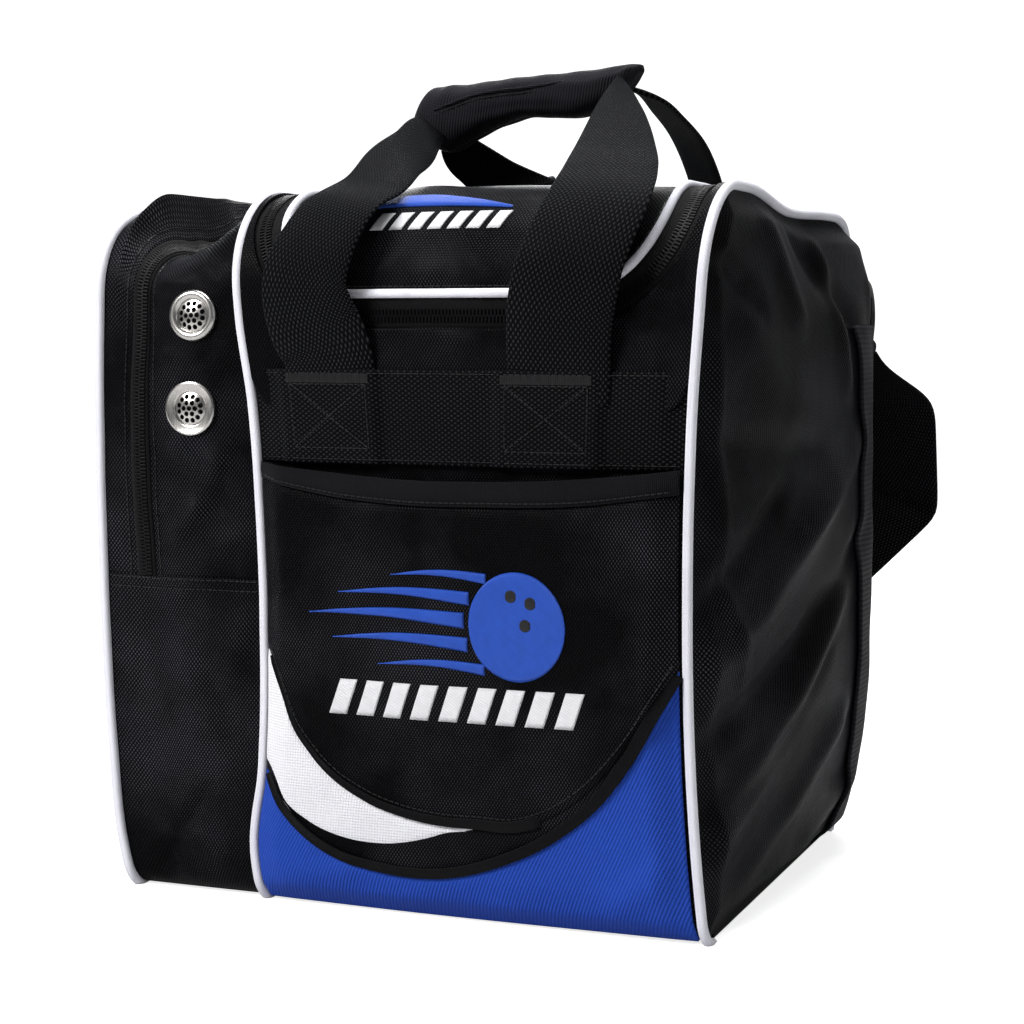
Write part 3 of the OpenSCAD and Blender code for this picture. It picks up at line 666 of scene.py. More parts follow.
# The webbing's light colour is a painted glint on its knots
WEBBING = webbing_look("webbing_black", (0.0003, 0.0003, 0.0004), (0.030, 0.030, 0.034))
RIBBED_WEB = ribbed("webbing_ribbed", (0.0003, 0.0003, 0.0004), (0.020, 0.020, 0.024), 2.8, math.pi / 2, 0.1)
GRIP_CLOTH = ribbed("grip_twill", (0.0008, 0.0008, 0.001), (0.016, 0.016, 0.021), 1.6, math.radians(12), 0.15)
BINDING = ribbed("binding_black", (0.0006, 0.0006, 0.0008), (0.008, 0.008, 0.010), 0.9, cross=0.35)
WHITE = ribbed("canvas_white", (0.50, 0.50, 0.56), (0.84, 0.84, 0.87), 1.6)
BLUE = ribbed("ribbed_blue", (0.004, 0.022, 0.17), (0.022, 0.075, 0.46), 1.7, math.radians(28), 0.2)
TAPE = ribbed("zip_tape", (0.0006, 0.0006, 0.0008), (0.007, 0.007, 0.008), 0.8, math.radians(45))
PIPING = knit("piping_knit", (0.50, 0.49, 0.60), (0.84, 0.84, 0.90))
COIL = plastic("zip_coil", (0.0006, 0.0006, 0.0008), (0.004, 0.004, 0.005), (0.30, 0.46), specular=0.08)
PLASTIC = plastic("ring_plastic", (0.0015, 0.0015, 0.002), (0.010, 0.010, 0.011), (0.22, 0.4), coat=0.1)
BOARD = plastic("fibre_board", (0.02, 0.02, 0.024), (0.05, 0.05, 0.055), (0.7, 0.9))
FOAM = plastic("cup_foam", (0.02, 0.02, 0.024), (0.055, 0.055, 0.06), (0.8, 0.95), grain=900.0)
ENAMEL = metal("zip_enamel", (0.004, 0.004, 0.005), (0.016, 0.016, 0.018), (0.2, 0.4), metallic=0.3, coat=0.4)
STEEL = metal("eyelet_steel", (0.34, 0.33, 0.32), (0.66, 0.64, 0.62), (0.20, 0.38))
STITCH = thread("stitch_black", (0.0006, 0.0006, 0.0008), (0.007, 0.007, 0.009), pitch=0.5)
BLUE_THREAD = thread("thread_blue", (0.002, 0.022, 0.20), (0.008, 0.085, 0.56), math.radians(20))
WHITE_THREAD = thread("thread_white", (0.50, 0.50, 0.54), (0.85, 0.85, 0.88), math.radians(70))

# ---- main compartment ----------------------------------------------------------------------

ZIP_LEFT = SEAM_INNER + ZIP_INSET
ZIP_RIGHT = SEAM_RIGHT - ZIP_INSET
S_CORNER = float(s_at_front(LIP_Z + LID_CORNER))
FINE = (180, 70, 180)


def zip_line(off, sides=90, turn=34, front=90):
    """The lid's outline as (x, s) points, from the hinge on the left round the front to the
    hinge on the right. off moves it in from the zip's middle, towards the lid. The counts are
    points along a side, round a corner and along the front."""
    r = LID_CORNER - off
    s_side = np.linspace(S_HINGE, S_CORNER, sides, endpoint=False)
    left = np.stack([np.full(sides, ZIP_LEFT + off), s_side], axis=1)
    a = np.linspace(0, math.pi / 2, turn, endpoint=False)
    cx, cz = ZIP_LEFT + LID_CORNER, LIP_Z + LID_CORNER
    bend = np.stack([cx - r * np.cos(a), s_at_front(cz - r * np.sin(a))], axis=1)
    run = np.linspace(cx, ZIP_LEFT + ZIP_RIGHT - cx, front)
    lip = np.stack([run, np.full(front, float(s_at_front(LIP_Z + off)))], axis=1)
    half = np.concatenate([left, bend])
    other = half[::-1].copy()
    other[:, 0] = ZIP_LEFT + ZIP_RIGHT - other[:, 0]
    return np.concatenate([half, lip, other])


def strip(name, low, high, look, body, replaces=(), out=0.0, thickness=TAPE_THICK, steps=4):
    """A ribbon of the wrap between two rows of (x, s) points."""
    share = np.linspace(0, 1, steps)[:, None, None]
    rows = low[None] * (1 - share) + high[None] * share
    points = on_bag(rows[..., 0], rows[..., 1], out)
    return cloth_grid(name, points, rows / MM, look, body, replaces, thickness, flip=True)


def tape(name, low, high, body, replaces):
    """Zip tape, a little below the cloth."""
    return strip(name, low, high, TAPE, body, replaces, out=-0.3 * MM)


# The front panel ends here, and the rim round the lid begins
S_SPLIT = float(s_at_front(258 * MM))
COLUMNS = np.linspace(SEAM_INNER, SEAM_RIGHT, 120)
PANEL_ROWS = 110


def rim_edge(line):
    """The outer edge of the rim: it follows the side seams, and turns in at the front corners."""
    x, s = line.T
    left = np.clip((x - ZIP_LEFT) / LID_CORNER, 0, 1)
    right = np.clip((ZIP_RIGHT - x) / LID_CORNER, 0, 1)
    edge_x = np.where(x < MAIN_MID, SEAM_INNER + (x - SEAM_INNER) * smooth(left * 1.6 - 0.3),
                      SEAM_RIGHT - (SEAM_RIGHT - x) * smooth(right * 1.6 - 0.3))
    edge_s = S_SPLIT + (s - S_SPLIT) * (1 - smooth(np.minimum(left, right) * 2.2))
    return np.stack([edge_x, edge_s], axis=1)


wrap_grid("front_panel_soft", COLUMNS, np.linspace(0, S_SPLIT + 1 * MM, PANEL_ROWS), BLACK, "bag",
          ("front_panel",))
rim_line = zip_line(-6 * MM)
strip("lid_rim_soft", rim_edge(rim_line), rim_line, BLACK, "bag", ("lid_rim",), thickness=FABRIC, steps=26)
tape("rim_zip_tape_woven", rim_line, zip_line(-0.4 * MM), "bag", ("rim_zip_tape",))
tape("lid_zip_tape_woven", zip_line(0.4 * MM), zip_line(9.5 * MM), "lid", ("lid_zip_tape",))

# A coil zip: pitch, how far it stands out, how far each bar reaches over the middle and back
# over its tape, and the size of a bar as (across the zip, along it, up)
COIL_PITCH = 1.9 * MM
COIL_OUT = 0.6 * MM
COIL_OVER = 0.2 * MM
COIL_BACK = 2.9 * MM
COIL_BAR = (3.6 * MM, 1.3 * MM, 1.3 * MM)


def coil(name, line, sign, body, replaces):
    """One side of a coil zip: a rounded bar at each pitch. line(off) gives the zip's (x, s)
    points moved sideways by off, and sign says on which side of the middle this half lies."""
    mid, inner, outer = (on_bag(*line(sign * off).T, COIL_OUT) for off in (0, -COIL_OVER, COIL_BACK))
    length = run_length(mid)
    shift = COIL_PITCH / 2 if body in ("lid", "shoe_flap") else 0.0
    at = np.arange(1.0 * MM + shift, length[-1] - 1.0 * MM, COIL_PITCH)
    p, q = (sample(rows, length, at) for rows in (inner, outer))
    tangent = sample(frames_along(mid), length, at)
    across = unit(q - p)
    up = unit(np.cross(across, tangent))
    return join_bars(name, (p + q) / 2, across, tangent, up, COIL_BAR, COIL, body, replaces)


def lid_zip(off):
    return zip_line(off, *FINE)


coil("rim_zip_coil", lid_zip, -1, "bag", ("rim_zip_teeth",))
coil("lid_zip_coil", lid_zip, 1, "lid", ("lid_zip_teeth",))


def lid_grid(inset, behind):
    """The lid's columns and rows: inset from the zip, and running to behind the hinge."""
    radius = LID_CORNER - inset
    above = radius * np.sin(np.linspace(math.pi / 2, 0, 26, endpoint=False))
    side_rows = 90
    left = np.concatenate([
        ZIP_LEFT + LID_CORNER - np.sqrt(np.maximum(radius ** 2 - above ** 2, 0)),
        np.full(side_rows, ZIP_LEFT + inset),
    ])
    side = np.linspace(S_CORNER, S_HINGE + behind, side_rows)
    s = np.concatenate([s_at_front(LIP_Z + LID_CORNER - above), side])
    share = np.linspace(0, 1, PANEL_ROWS)
    return left[:, None] + (ZIP_LEFT + ZIP_RIGHT - 2 * left)[:, None] * share[None], s


def bend_between(piece, moving, start, end):
    """Bakes a sewn piece's modifiers and placement into its mesh; the piece does not bend. moving, start and
    end are not used.
    """
    bake_modifiers(piece)
    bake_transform(piece)


# The lid, running to just behind the hinge
lid = wrap_grid("lid_panel_soft", *lid_grid(10.5 * MM, 9 * MM), BLACK, None, ("lid_panel",), out=0.3 * MM)
bend_between(lid, "lid", (0, HINGE_Y + 10 * MM, HEIGHT), (0, HINGE_Y - 12 * MM, HEIGHT))
wrap_grid("back_panel_soft", COLUMNS, np.linspace(S_HINGE + 8 * MM, S_END, PANEL_ROWS), BLACK, "bag",
          ("back_panel",))
tube("lid_piping_cord", on_bag(*zip_line(11 * MM).T, 1.3 * MM), 2.3 * MM, PIPING, "lid", ("lid_piping",))

# ---- shoe compartment ----------------------------------------------------------------------

S_FLAP = float(s_at_front(FLAP_Z))
S_FLAP_BACK = S_BACK_LOW - (FLAP_Z - FOOT_R)
TAPE_HALF = 5.2 * MM
shoe_columns = np.linspace(SEAM_OUTER, SEAM_INNER, 56)
low_front = np.linspace(0, S_FLAP, 90)
low_back = np.linspace(S_FLAP_BACK, S_END, 90)
wrap_grid("shoe_lower_front_soft", shoe_columns, low_front, BLACK, "bag", ("shoe_lower_gusset",))
wrap_grid("shoe_lower_back_soft", shoe_columns, low_back, BLACK, "bag")
upper = np.linspace(S_FLAP, S_FLAP_BACK, 260)
fine = np.linspace(S_FLAP, S_FLAP_BACK, 520)
wrap_grid("shoe_upper_soft", np.linspace(SHOE_ZIP_X + TAPE_HALF, SEAM_INNER, 44), upper, BLACK, "bag",
          ("shoe_inner_gusset",))
wrap_grid("shoe_flap_gusset_soft", np.linspace(SEAM_OUTER, SHOE_ZIP_X - TAPE_HALF, 14), upper, BLACK,
          "shoe_flap", ("shoe_flap_gusset",))


def straight(x, s=upper):
    """The (x, s) points of a line round the shoe compartment."""
    return np.stack([np.full(len(s), x), s], axis=1)


def shoe_zip(off):
    return straight(SHOE_ZIP_X + off, fine)


tape("shoe_zip_tape_woven", straight(SHOE_ZIP_X + TAPE_HALF), straight(SHOE_ZIP_X + 0.4 * MM), "bag",
     ("shoe_zip_tape",))
tape("shoe_flap_zip_tape_woven", straight(SHOE_ZIP_X - 0.4 * MM), straight(SHOE_ZIP_X - TAPE_HALF),
     "shoe_flap", ("shoe_flap_zip_tape",))
coil("shoe_zip_coil", shoe_zip, 1, "bag", ("shoe_zip_teeth",))
coil("shoe_flap_zip_coil", shoe_zip, -1, "shoe_flap", ("shoe_flap_zip_teeth",))

# ---- seams ---------------------------------------------------------------------------------


def seam_cord(name, x, s, body, replaces, lean=0.0):
    """White piping along a seam, moved sideways by lean."""
    path = on_bag(np.full(len(s), x), s, 1.2 * MM) + np.array([lean, 0, 0])
    return tube(name, path, 2.6 * MM, PIPING, body, replaces, up=(1, 0, 0))


full = np.linspace(0, S_END, 420)
LEAN = 0.4 * MM
FLAP_BEND = ((SEAM_OUTER, 0, FLAP_Z + 1 * MM), (SEAM_OUTER, 0, FLAP_Z + 12 * MM))
seam_cord("right_piping_cord", SEAM_RIGHT, full, "bag", ("right_piping",), LEAN)
seam_cord("inner_piping_cord", SEAM_INNER, full, "bag", ("inner_piping",))
seam_cord("outer_piping_front_cord", SEAM_OUTER, low_front, "bag", ("outer_piping",), -LEAN)
seam_cord("outer_piping_back_cord", SEAM_OUTER, low_back, "bag", (), -LEAN)
flap_cord = seam_cord("shoe_flap_piping_cord", SEAM_OUTER, upper, None, ("shoe_flap_piping",), -LEAN)
bend_between(flap_cord, "shoe_flap", *FLAP_BEND)

# ---- side panels and base ------------------------------------------------------------------


# The ball's bulge in the right side: its centre (y, z), and how high it stands, in millimetres
BULGE_Y, BULGE_Z = 84, 175
BULGE_HIGH = 36


def side_bulge(y, z):
    """How far the ball pushes the right side out, in millimetres. y and z in millimetres."""
    u = np.clip(np.abs((y - BULGE_Y) / np.where(y > BULGE_Y, 51, 219)), 0, 1)
    v = np.clip(np.abs((z - BULGE_Z) / np.where(z > BULGE_Z, 192, 175)), 0, 1)
    return BULGE_HIGH * (1 - u ** 2) ** 0.9 * (1 - v ** 3) ** 0.8 + 3


# Creases of the right side as (start, end, width, height) in (y, z) millimetres
SIDE_CREASES = [
    ((-140, 30), (50, 168), 13, 5.5), ((-120, 130), (15, 214), 12, 5.0), ((-90, 22), (45, 86), 9, 4.5),
    ((-125, 92), (66, 176), 9, -5.0), ((-130, 160), (-50, 214), 8, -4.0), ((-100, 300), (-40, 246), 24, 3.5),
    ((-20, 352), (60, 300), 11, -5.0), ((-122, 330), (-80, 306), 7, -3.0),
    ((-112, 240), (-10, 232), 10, -4.0),
    ((-60, 350), (-30, 300), 9, 3.5), ((20, 350), (40, 262), 9, 4.0), ((-30, 190), (60, 235), 10, 4.0),
    ((-118, 205), (-96, 120), 6, 2.5), ((0, 20), (80, 44), 9, 3.0), ((-100, 60), (20, 128), 7, -3.5),
    ((100, 330), (112, 250), 8, 3.0), ((-124, 280), (-112, 200), 6, 2.0),
]


def y_reach(z):
    """Half depth of the side outline at height z, at its front and at its back."""
    foot = FOOT_R - np.sqrt(np.maximum(FOOT_R ** 2 - np.maximum(FOOT_R - z, 0) ** 2, 0))
    reach = []
    for r in (FRONT_R, BACK_R):
        over = np.maximum(z - (HEIGHT - r), 0)
        reach.append(HALF_DEPTH - foot - (r - np.sqrt(np.maximum(r ** 2 - over ** 2, 0))))
    return reach


def side_face(x, sign, y, z, bulge, creases, seed):
    """Points on a side panel: its rim is the seam of the wrap and its middle swells outwards.
    The shoe side is also pinched along the flap's hinge."""
    front, back = y_reach(z)
    ymm, zmm = y / MM, z / MM
    nearest = np.minimum(np.minimum(y + front, back - y), np.minimum(z, HEIGHT - z)) / MM
    edge = smooth(nearest / 16)
    if sign < 0:
        edge = edge * smooth(np.abs(zmm - FLAP_Z / MM) / 14)
    swell = edge * (bulge(ymm, zmm) + ridges(ymm, zmm, creases) + 1.2 * ripple(ymm, zmm, 60, seed))
    points = soft(np.stack([np.full(y.shape, x), y, z], axis=-1))
    points[..., 0] += sign * swell * MM
    return points


def crowded(count):
    """Numbers from 0 to 1 that crowd together at both ends."""
    return np.sin(np.linspace(-math.pi / 2, math.pi / 2, count)) * 0.5 + 0.5


def side_panel(name, x, sign, heights, bulge, creases, body, replaces, seed):
    front, back = y_reach(heights)
    y = -front[:, None] + (front + back)[:, None] * crowded(130)[None]
    z = np.broadcast_to(heights[:, None], y.shape)
    points = side_face(x, sign, y, z, bulge, creases, seed)
    uv = np.stack([y, z], axis=-1) / MM
    return cloth_grid(name, points, uv, BLACK, body, replaces, flip=sign < 0)


SIDE_SEED = 5
SHOE_SEED = 8
side_panel("right_side_panel_soft", SEAM_RIGHT, 1, HEIGHT * crowded(150), side_bulge, SIDE_CREASES, "bag",
           ("right_side_panel",), SIDE_SEED)


def shoe_bulge(y, z):
    """The shoe pocket's outer side swells a little, in millimetres."""
    return 3 * np.cos(np.clip(y / 150, -1, 1) * math.pi / 2) * np.sin(math.pi * np.clip(z / 367, 0, 1)) ** 0.6


SHOE_CREASES = [
    ((-80, 60), (40, 110), 14, 1.5), ((30, 250), (90, 320), 12, 1.5), ((-60, 220), (0, 300), 12, -1.5),
]
side_panel("shoe_lower_panel_soft", SEAM_OUTER, -1, np.linspace(0.5 * MM, FLAP_Z, 70), shoe_bulge,
           SHOE_CREASES, "bag", ("shoe_lower_panel",), SHOE_SEED)
flap_heights = FLAP_Z + (HEIGHT - FLAP_Z) * crowded(80)
flap = side_panel("shoe_flap_panel_soft", SEAM_OUTER, -1, flap_heights, shoe_bulge, SHOE_CREASES, None,
                  ("shoe_flap_panel",), SHOE_SEED)
bend_between(flap, "shoe_flap", *FLAP_BEND)

base_x, base_y = np.meshgrid(np.linspace(SEAM_OUTER, SEAM_RIGHT, 90),
                             np.linspace(-HALF_DEPTH + FOOT_R, HALF_DEPTH - FOOT_R, 60))
base = soft(np.stack([base_x, base_y, np.zeros(base_x.shape)], axis=-1))
cloth_grid("base_panel_soft", base, np.stack([base_x, base_y], axis=-1) / MM, BLACK, "bag",
           ("base_panel",), flip=True)


def divider():
    """The wall between the two compartments, a little inside the outline."""
    inset = 3 * MM
    heights = np.linspace(inset, HEIGHT - inset, 60)
    front, back = y_reach(heights)
    y = -front[:, None] + inset + (front + back - 2 * inset)[:, None] * np.linspace(0, 1, 60)[None]
    z = np.broadcast_to(heights[:, None], y.shape)
    wall = soft(np.stack([np.full(y.shape, SEAM_INNER + 1.2 * MM), y, z], axis=-1))
    wall[..., 0] += 2.0 * MM * ripple(y / MM, z / MM, 90, 12)
    cloth_grid("divider_panel_soft", wall, np.stack([y, z], axis=-1) / MM, LINING, "bag",
               ("divider_panel",))


divider()

# ---- front pocket --------------------------------------------------------------------------

POCKET_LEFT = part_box("pocket_panel")[0].x
POCKET_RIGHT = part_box("pocket_panel")[1].x

# Seam lines of the pocket's colour fields, as (x, z) in millimetres
FIELD_EDGE = [(-79, 134), (-67, 114), (-59, 97), (-46, 81), (-32, 69.5), (-14, 60.5), (7, 54.5), (29, 51.5),
              (50, 51.5), (70, 52), (90, 59), (116, 78), (136, 101), (159, 137)]
CRESCENT_EDGE = [(-79, 74), (-70, 65), (-61, 54), (-46, 44.5), (-28, 38.5), (-3, 36.5), (21, 41), (39, 47.5),
                 (50, 51)]
BLUE_EDGE = [(-79, 71), (-70, 61), (-56, 47), (-36, 34), (-3, 26), (29, 26), (61, 35), (92, 51), (122, 77),
             (137, 97), (151, 121), (159, 135)]
TOP_EDGE = [(-79, 230), (-70, 229), (-33, 226), (5, 223.5), (59, 223.5), (110, 226), (150, 230), (159, 231)]
BINDING_EDGE = [(-79, 222), (-70, 220), (-33, 214), (5, 211), (59, 211), (110, 213), (150, 218), (159, 219)]
BOTTOM_EDGE = [(-79, 1.6), (0, 0.8), (159, 1.6)]
POCKET_CREASES = [
    ((-70, 150), (-20, 205), 14, 1.6), ((150, 120), (90, 200), 16, 1.8), ((-70, 100), (-30, 160), 12, -1.5),
    ((110, 60), (150, 150), 12, 1.5), ((0, 120), (70, 200), 24, 1.5), ((-60, 14), (-20, 22), 7, 1.5),
    ((120, 12), (150, 40), 8, 1.8),
]


def on_pocket(x, z, out=0.0):
    """Points on the pocket's front: it stands out from the bag and curves in at its sides."""
    x, z = np.broadcast_arrays(np.asarray(x, float), np.asarray(z, float))
    xmm, zmm = x / MM, z / MM
    t = np.clip((x - POCKET_LEFT) / (POCKET_RIGHT - POCKET_LEFT), 0, 1)
    side = smooth(np.minimum(t, 1 - t) * 14) ** 0.7
    foot = smooth(z / (26 * MM)) ** 0.6
    depth = 2.4 + 6.0 * side * foot
    puff = 1.5 * side * half_wave(np.clip(zmm / 225, 0, 1))
    folds = side * foot * (ridges(xmm, zmm, POCKET_CREASES) + 0.8 * ripple(xmm, zmm, 52, 21))
    points = soft(np.stack([x, np.full(x.shape, -HALF_DEPTH), z], axis=-1))
    tuck = 5.0 * (1 - smooth(zmm / 13))
    points[..., 1] -= (depth + puff + folds - tuck) * MM + out
    return points


def pocket_field(name, low, high, look, replaces=(), x_to=POCKET_RIGHT, out=0.0, rows=40):
    """A colour field of the pocket between two seam lines, puffed a little off its stitching."""
    x = np.linspace(POCKET_LEFT, x_to, int((x_to - POCKET_LEFT) / (1.6 * MM)))
    low_z, high_z = curve_at(x / MM, low) * MM, curve_at(x / MM, high) * MM
    high_z = np.maximum(high_z, low_z + 0.2 * MM)
    share = np.linspace(0, 1, rows)[:, None]
    z = low_z[None] * (1 - share) + high_z[None] * share
    grid_x = np.broadcast_to(x[None], z.shape)
    inset = np.minimum(z - low_z[None], high_z[None] - z) / MM
    puff = 0.9 * MM * smooth(inset / 5)
    points = on_pocket(grid_x, z, puff + out)
    return cloth_grid(name, points, np.stack([grid_x, z], axis=-1) / MM, look, "bag", replaces,
                      thickness=THIN_CLOTH)


pocket_field("pocket_blue_field", BOTTOM_EDGE, BLUE_EDGE, BLUE, ("pocket_blue_panel",))
pocket_field("pocket_black_wedge", BLUE_EDGE, FIELD_EDGE, BLACK)
pocket_field("pocket_black_field", FIELD_EDGE, BINDING_EDGE, BLACK, ("pocket_panel",), rows=90)
pocket_field("pocket_white_crescent", CRESCENT_EDGE, FIELD_EDGE, WHITE, ("pocket_white_panel",),
             x_to=50 * MM, out=0.5 * MM)
pocket_field("pocket_binding_soft", BINDING_EDGE, TOP_EDGE, BINDING, ("pocket_binding",),
             out=1.2 * MM, rows=10)


def pocket_line(edge, count, x_from, x_to, rise):
    """Places along a seam line of the pocket, raised by rise."""
    x = np.linspace(x_from, x_to, count)
    return x, curve_at(x / MM, edge) * MM + rise


def welt(name, edge, width, x_from, x_to, replaces=(), rise=0.0):
    """A folded black welt along a seam line; width is (left, right). Its ends are tucked in."""
    x, z = pocket_line(edge, 200, x_from, x_to, rise)
    path = on_pocket(x, z, 0.9 * MM)
    ends = smooth((x - x_from) / (2.5 * MM)) * smooth((x_to - x) / (2.5 * MM))
    path[:, 1] += 1.0 * MM * (1 - ends)
    lean = np.gradient(z) / np.gradient(x)
    across = np.stack([-lean, np.zeros(len(x)), np.ones(len(x))], axis=1)
    return webbing(name, path, across, np.linspace(*width, len(x)), BINDING, "bag", replaces,
                   thickness=2.2 * MM, cup=0.5 * MM)


welt("pocket_welt_upper", FIELD_EDGE, (2.2 * MM, 6.0 * MM), POCKET_LEFT + 3 * MM, 84 * MM, ("pocket_welt",),
     1.6 * MM)
welt("pocket_welt_lower", BLUE_EDGE, (4.0 * MM, 6.6 * MM), POCKET_LEFT + 2 * MM, POCKET_RIGHT - 1 * MM)

# ---- bands, handles and strap --------------------------------------------------------------


LEG_MIDDLES = (-34 * MM, 88.5 * MM)
BAND_Z = (230.5 * MM, 277.5 * MM)


def band_point(x, z, out=0.0):
    """Points on the front band: it lies on the cloth and rises over the handles' sewn ends."""
    sides = smooth(np.minimum(x - POCKET_LEFT, POCKET_RIGHT - x) / (14 * MM))
    over = sum(smooth((32 * MM - np.abs(x - middle)) / (7 * MM)) for middle in LEG_MIDDLES)
    lift = (0.6 + 2.6 * sides + 2.6 * over + 0.4 * ripple(x / MM, z / MM, 70, 31)) * MM
    return on_bag(x, s_at_front(z), lift + out)


def band(name, back, replaces):
    """Webbing sewn across the front or back, over the ends of the handles."""
    along = np.linspace(POCKET_LEFT - 1 * MM, POCKET_RIGHT + 1 * MM, 150)
    x, z = np.meshgrid(along, np.linspace(*BAND_Z, 26))
    points = band_point(x, z)
    if back:
        points[..., 1] *= -1
    uv = np.stack([z, x], axis=-1) / MM
    return cloth_grid(name, points, uv, WEBBING, "bag", replaces, THIN_CLOTH, flip=back)


band("front_band_webbing", False, ("front_band",))
band("back_band_webbing", True, ("back_band",))

# Handle legs from the band up to the grip: (x, y, z, width, tilt of the width in degrees)
LEFT_LEG = [
    (-34, -141, 262, 50, 0), (-34, -141.5, 278, 50, 0), (-35, -143.5, 287, 50, 0), (-40.5, -146, 300, 52, 0),
    (-43, -151, 320, 47, 0), (-37, -149, 340, 43, 0), (-30, -139, 357, 40, 4), (-23, -110, 371, 33, 14),
    (-26, -80, 384, 30, 28), (-30, -45, 395, 26, 42), (-33, -16, 408, 20, 40), (-30, -6, 414, 14, 20),
]
RIGHT_LEG = [
    (88, -141, 262, 52, 0), (88.5, -141.5, 278, 53, 0), (89, -143.5, 287, 53, 0), (91, -147, 306, 54, 0),
    (98.5, -151, 331, 53, 0), (107, -137, 361, 53, 2), (105, -115, 375, 48, 4), (98.5, -88, 388, 41, 5),
    (86, -44, 412, 24, 12), (79, -22, 424, 12, 20), (75, -12, 430, 4, 20),
]
BACK_LEFT_LEG = [
    (-34, 141, 262, 50, 0), (-33, 142.5, 284, 50, 0), (-36, 147, 305, 50, 0), (-36, 150, 328, 47, -3),
    (-33, 144, 350, 45, -8), (-30, 130, 368, 45, -14), (-27, 108, 380, 44, -17), (-19, 80, 380, 42, -15),
    (-24, 46, 387, 34, -18), (-29, 16, 400, 22, -22), (-28, 6, 408, 14, -10),
]
BACK_RIGHT_LEG = [
    (88, 141, 262, 50, 0), (88, 142.5, 284, 50, 0), (89, 147, 305, 45, 0), (90, 149, 330, 34, 3),
    (88, 142, 354, 25, 7), (86, 127, 374, 22, 12), (86, 106, 391, 22, 14), (86, 80, 405, 23, 18),
    (84, 50, 416, 22, 20), (80, 22, 425, 16, 20), (74, 8, 427, 8, 15),
]


def handle_leg(name, knots, side, replaces=()):
    """One leg of a handle; side is -1 at the front and 1 at the back."""
    rows = spline(knots, 90)
    tilt = np.radians(rows[:, 4])
    across = -side * np.stack([np.cos(tilt), np.zeros(len(tilt)), -np.sin(tilt)], axis=1)
    leg = webbing(name, rows[:, :3] * MM, across, rows[:, 3] * MM, WEBBING, None, replaces,
                  thickness=2.4 * MM, cup=0.8 * MM)
    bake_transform(leg)


handle_leg("front_handle_left_leg", LEFT_LEG, -1, ("front_handle", "front_handle_anchors"))
handle_leg("front_handle_right_leg", RIGHT_LEG, -1)
handle_leg("back_handle_left_leg", BACK_LEFT_LEG, 1, ("back_handle", "back_handle_anchors"))
handle_leg("back_handle_right_leg", BACK_RIGHT_LEG, 1)

# The wrap grip: (x, z of the middle, half height, half depth) along its length
GRIP = [
    (-47, 408, 6, 9), (-44, 409, 11, 13), (-36, 414, 16.5, 16), (-28, 413.5, 18, 16.5), (-13, 417, 15.2, 16),
    (2, 421, 12.5, 15.5), (16, 423.5, 11, 15), (41, 424, 12, 15), (54, 424.5, 12.3, 15), (64, 427, 10.5, 14),
    (72, 430, 8.5, 12), (80, 434, 5, 8), (84, 436.5, 2, 4),
]
GRIP_CREASES = [((-38, -16), (-22, 16), 4, 0.8), ((70, -14), (80, 8), 3, 1.0), ((-10, -4), (40, -8), 3, -0.7),
                ((40, 4), (76, 2), 3, 0.7), ((-30, 6), (20, 8), 4, 0.6)]
GRIP_GAP = 0.5 * MM


def grip_half(name, side, body, replaces):
    """Half of the padded wrap round both handles, open along its middle."""
    rows = spline([(x, 0, z, high, deep) for x, z, high, deep in GRIP], 100) * MM
    x, _, middle, high, deep = (column[:, None] for column in rows.T)
    turn = np.linspace(-math.pi / 2, math.pi / 2, 44)[None]
    xmm, round_mm = np.broadcast_arrays(x / MM, turn * 15)
    folds = (0.7 * ripple(xmm, round_mm, 26, 41) + ridges(xmm, round_mm, GRIP_CREASES)) * MM
    y = side * (GRIP_GAP + (deep + folds) * np.abs(np.cos(turn)) ** 0.8)
    z = middle + (high + folds) * np.sign(turn) * np.abs(np.sin(turn)) ** 0.8
    points = np.stack([xmm * MM, y, z], axis=-1)
    uv = np.stack([xmm, round_mm], axis=-1)
    return cloth_grid(name, points, uv, GRIP_CLOTH, body, replaces, thickness=3.0 * MM, flip=side < 0)


grip_half("grip_front_wrap", -1, "front_handle", ("grip_front_half",))
grip_half("grip_back_wrap", 1, "back_handle", ("grip_back_half",))

# ---- side webbing, rings and strap ---------------------------------------------------------

WEB_LIFT = 3.0 * MM
web_y, web_z = np.meshgrid(np.linspace(63, 109, 22) * MM, np.linspace(6, 300, 90) * MM)
web_points = side_face(SEAM_RIGHT, 1, web_y, web_z, side_bulge, SIDE_CREASES, SIDE_SEED)
web_points[..., 0] += WEB_LIFT
cloth_grid("side_webbing_rib", web_points, np.stack([web_y, web_z], axis=-1) / MM, RIBBED_WEB, "bag",
           ("side_webbing",), thickness=2.2 * MM)

RING_Y = 141 * MM
RING_Z = 304 * MM
RING_R = 20 * MM
RING_XS = [(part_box(n)[0].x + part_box(n)[1].x) / 2 for n in ("d_ring_left", "d_ring_right")]


def carry(node, look):
    """Shows a CAD piece as it is, in its own material."""
    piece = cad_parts[node]
    piece.data.materials.clear()
    piece.data.materials.append(look)


for node in ("d_ring_left", "d_ring_right"):
    carry(node, PLASTIC)


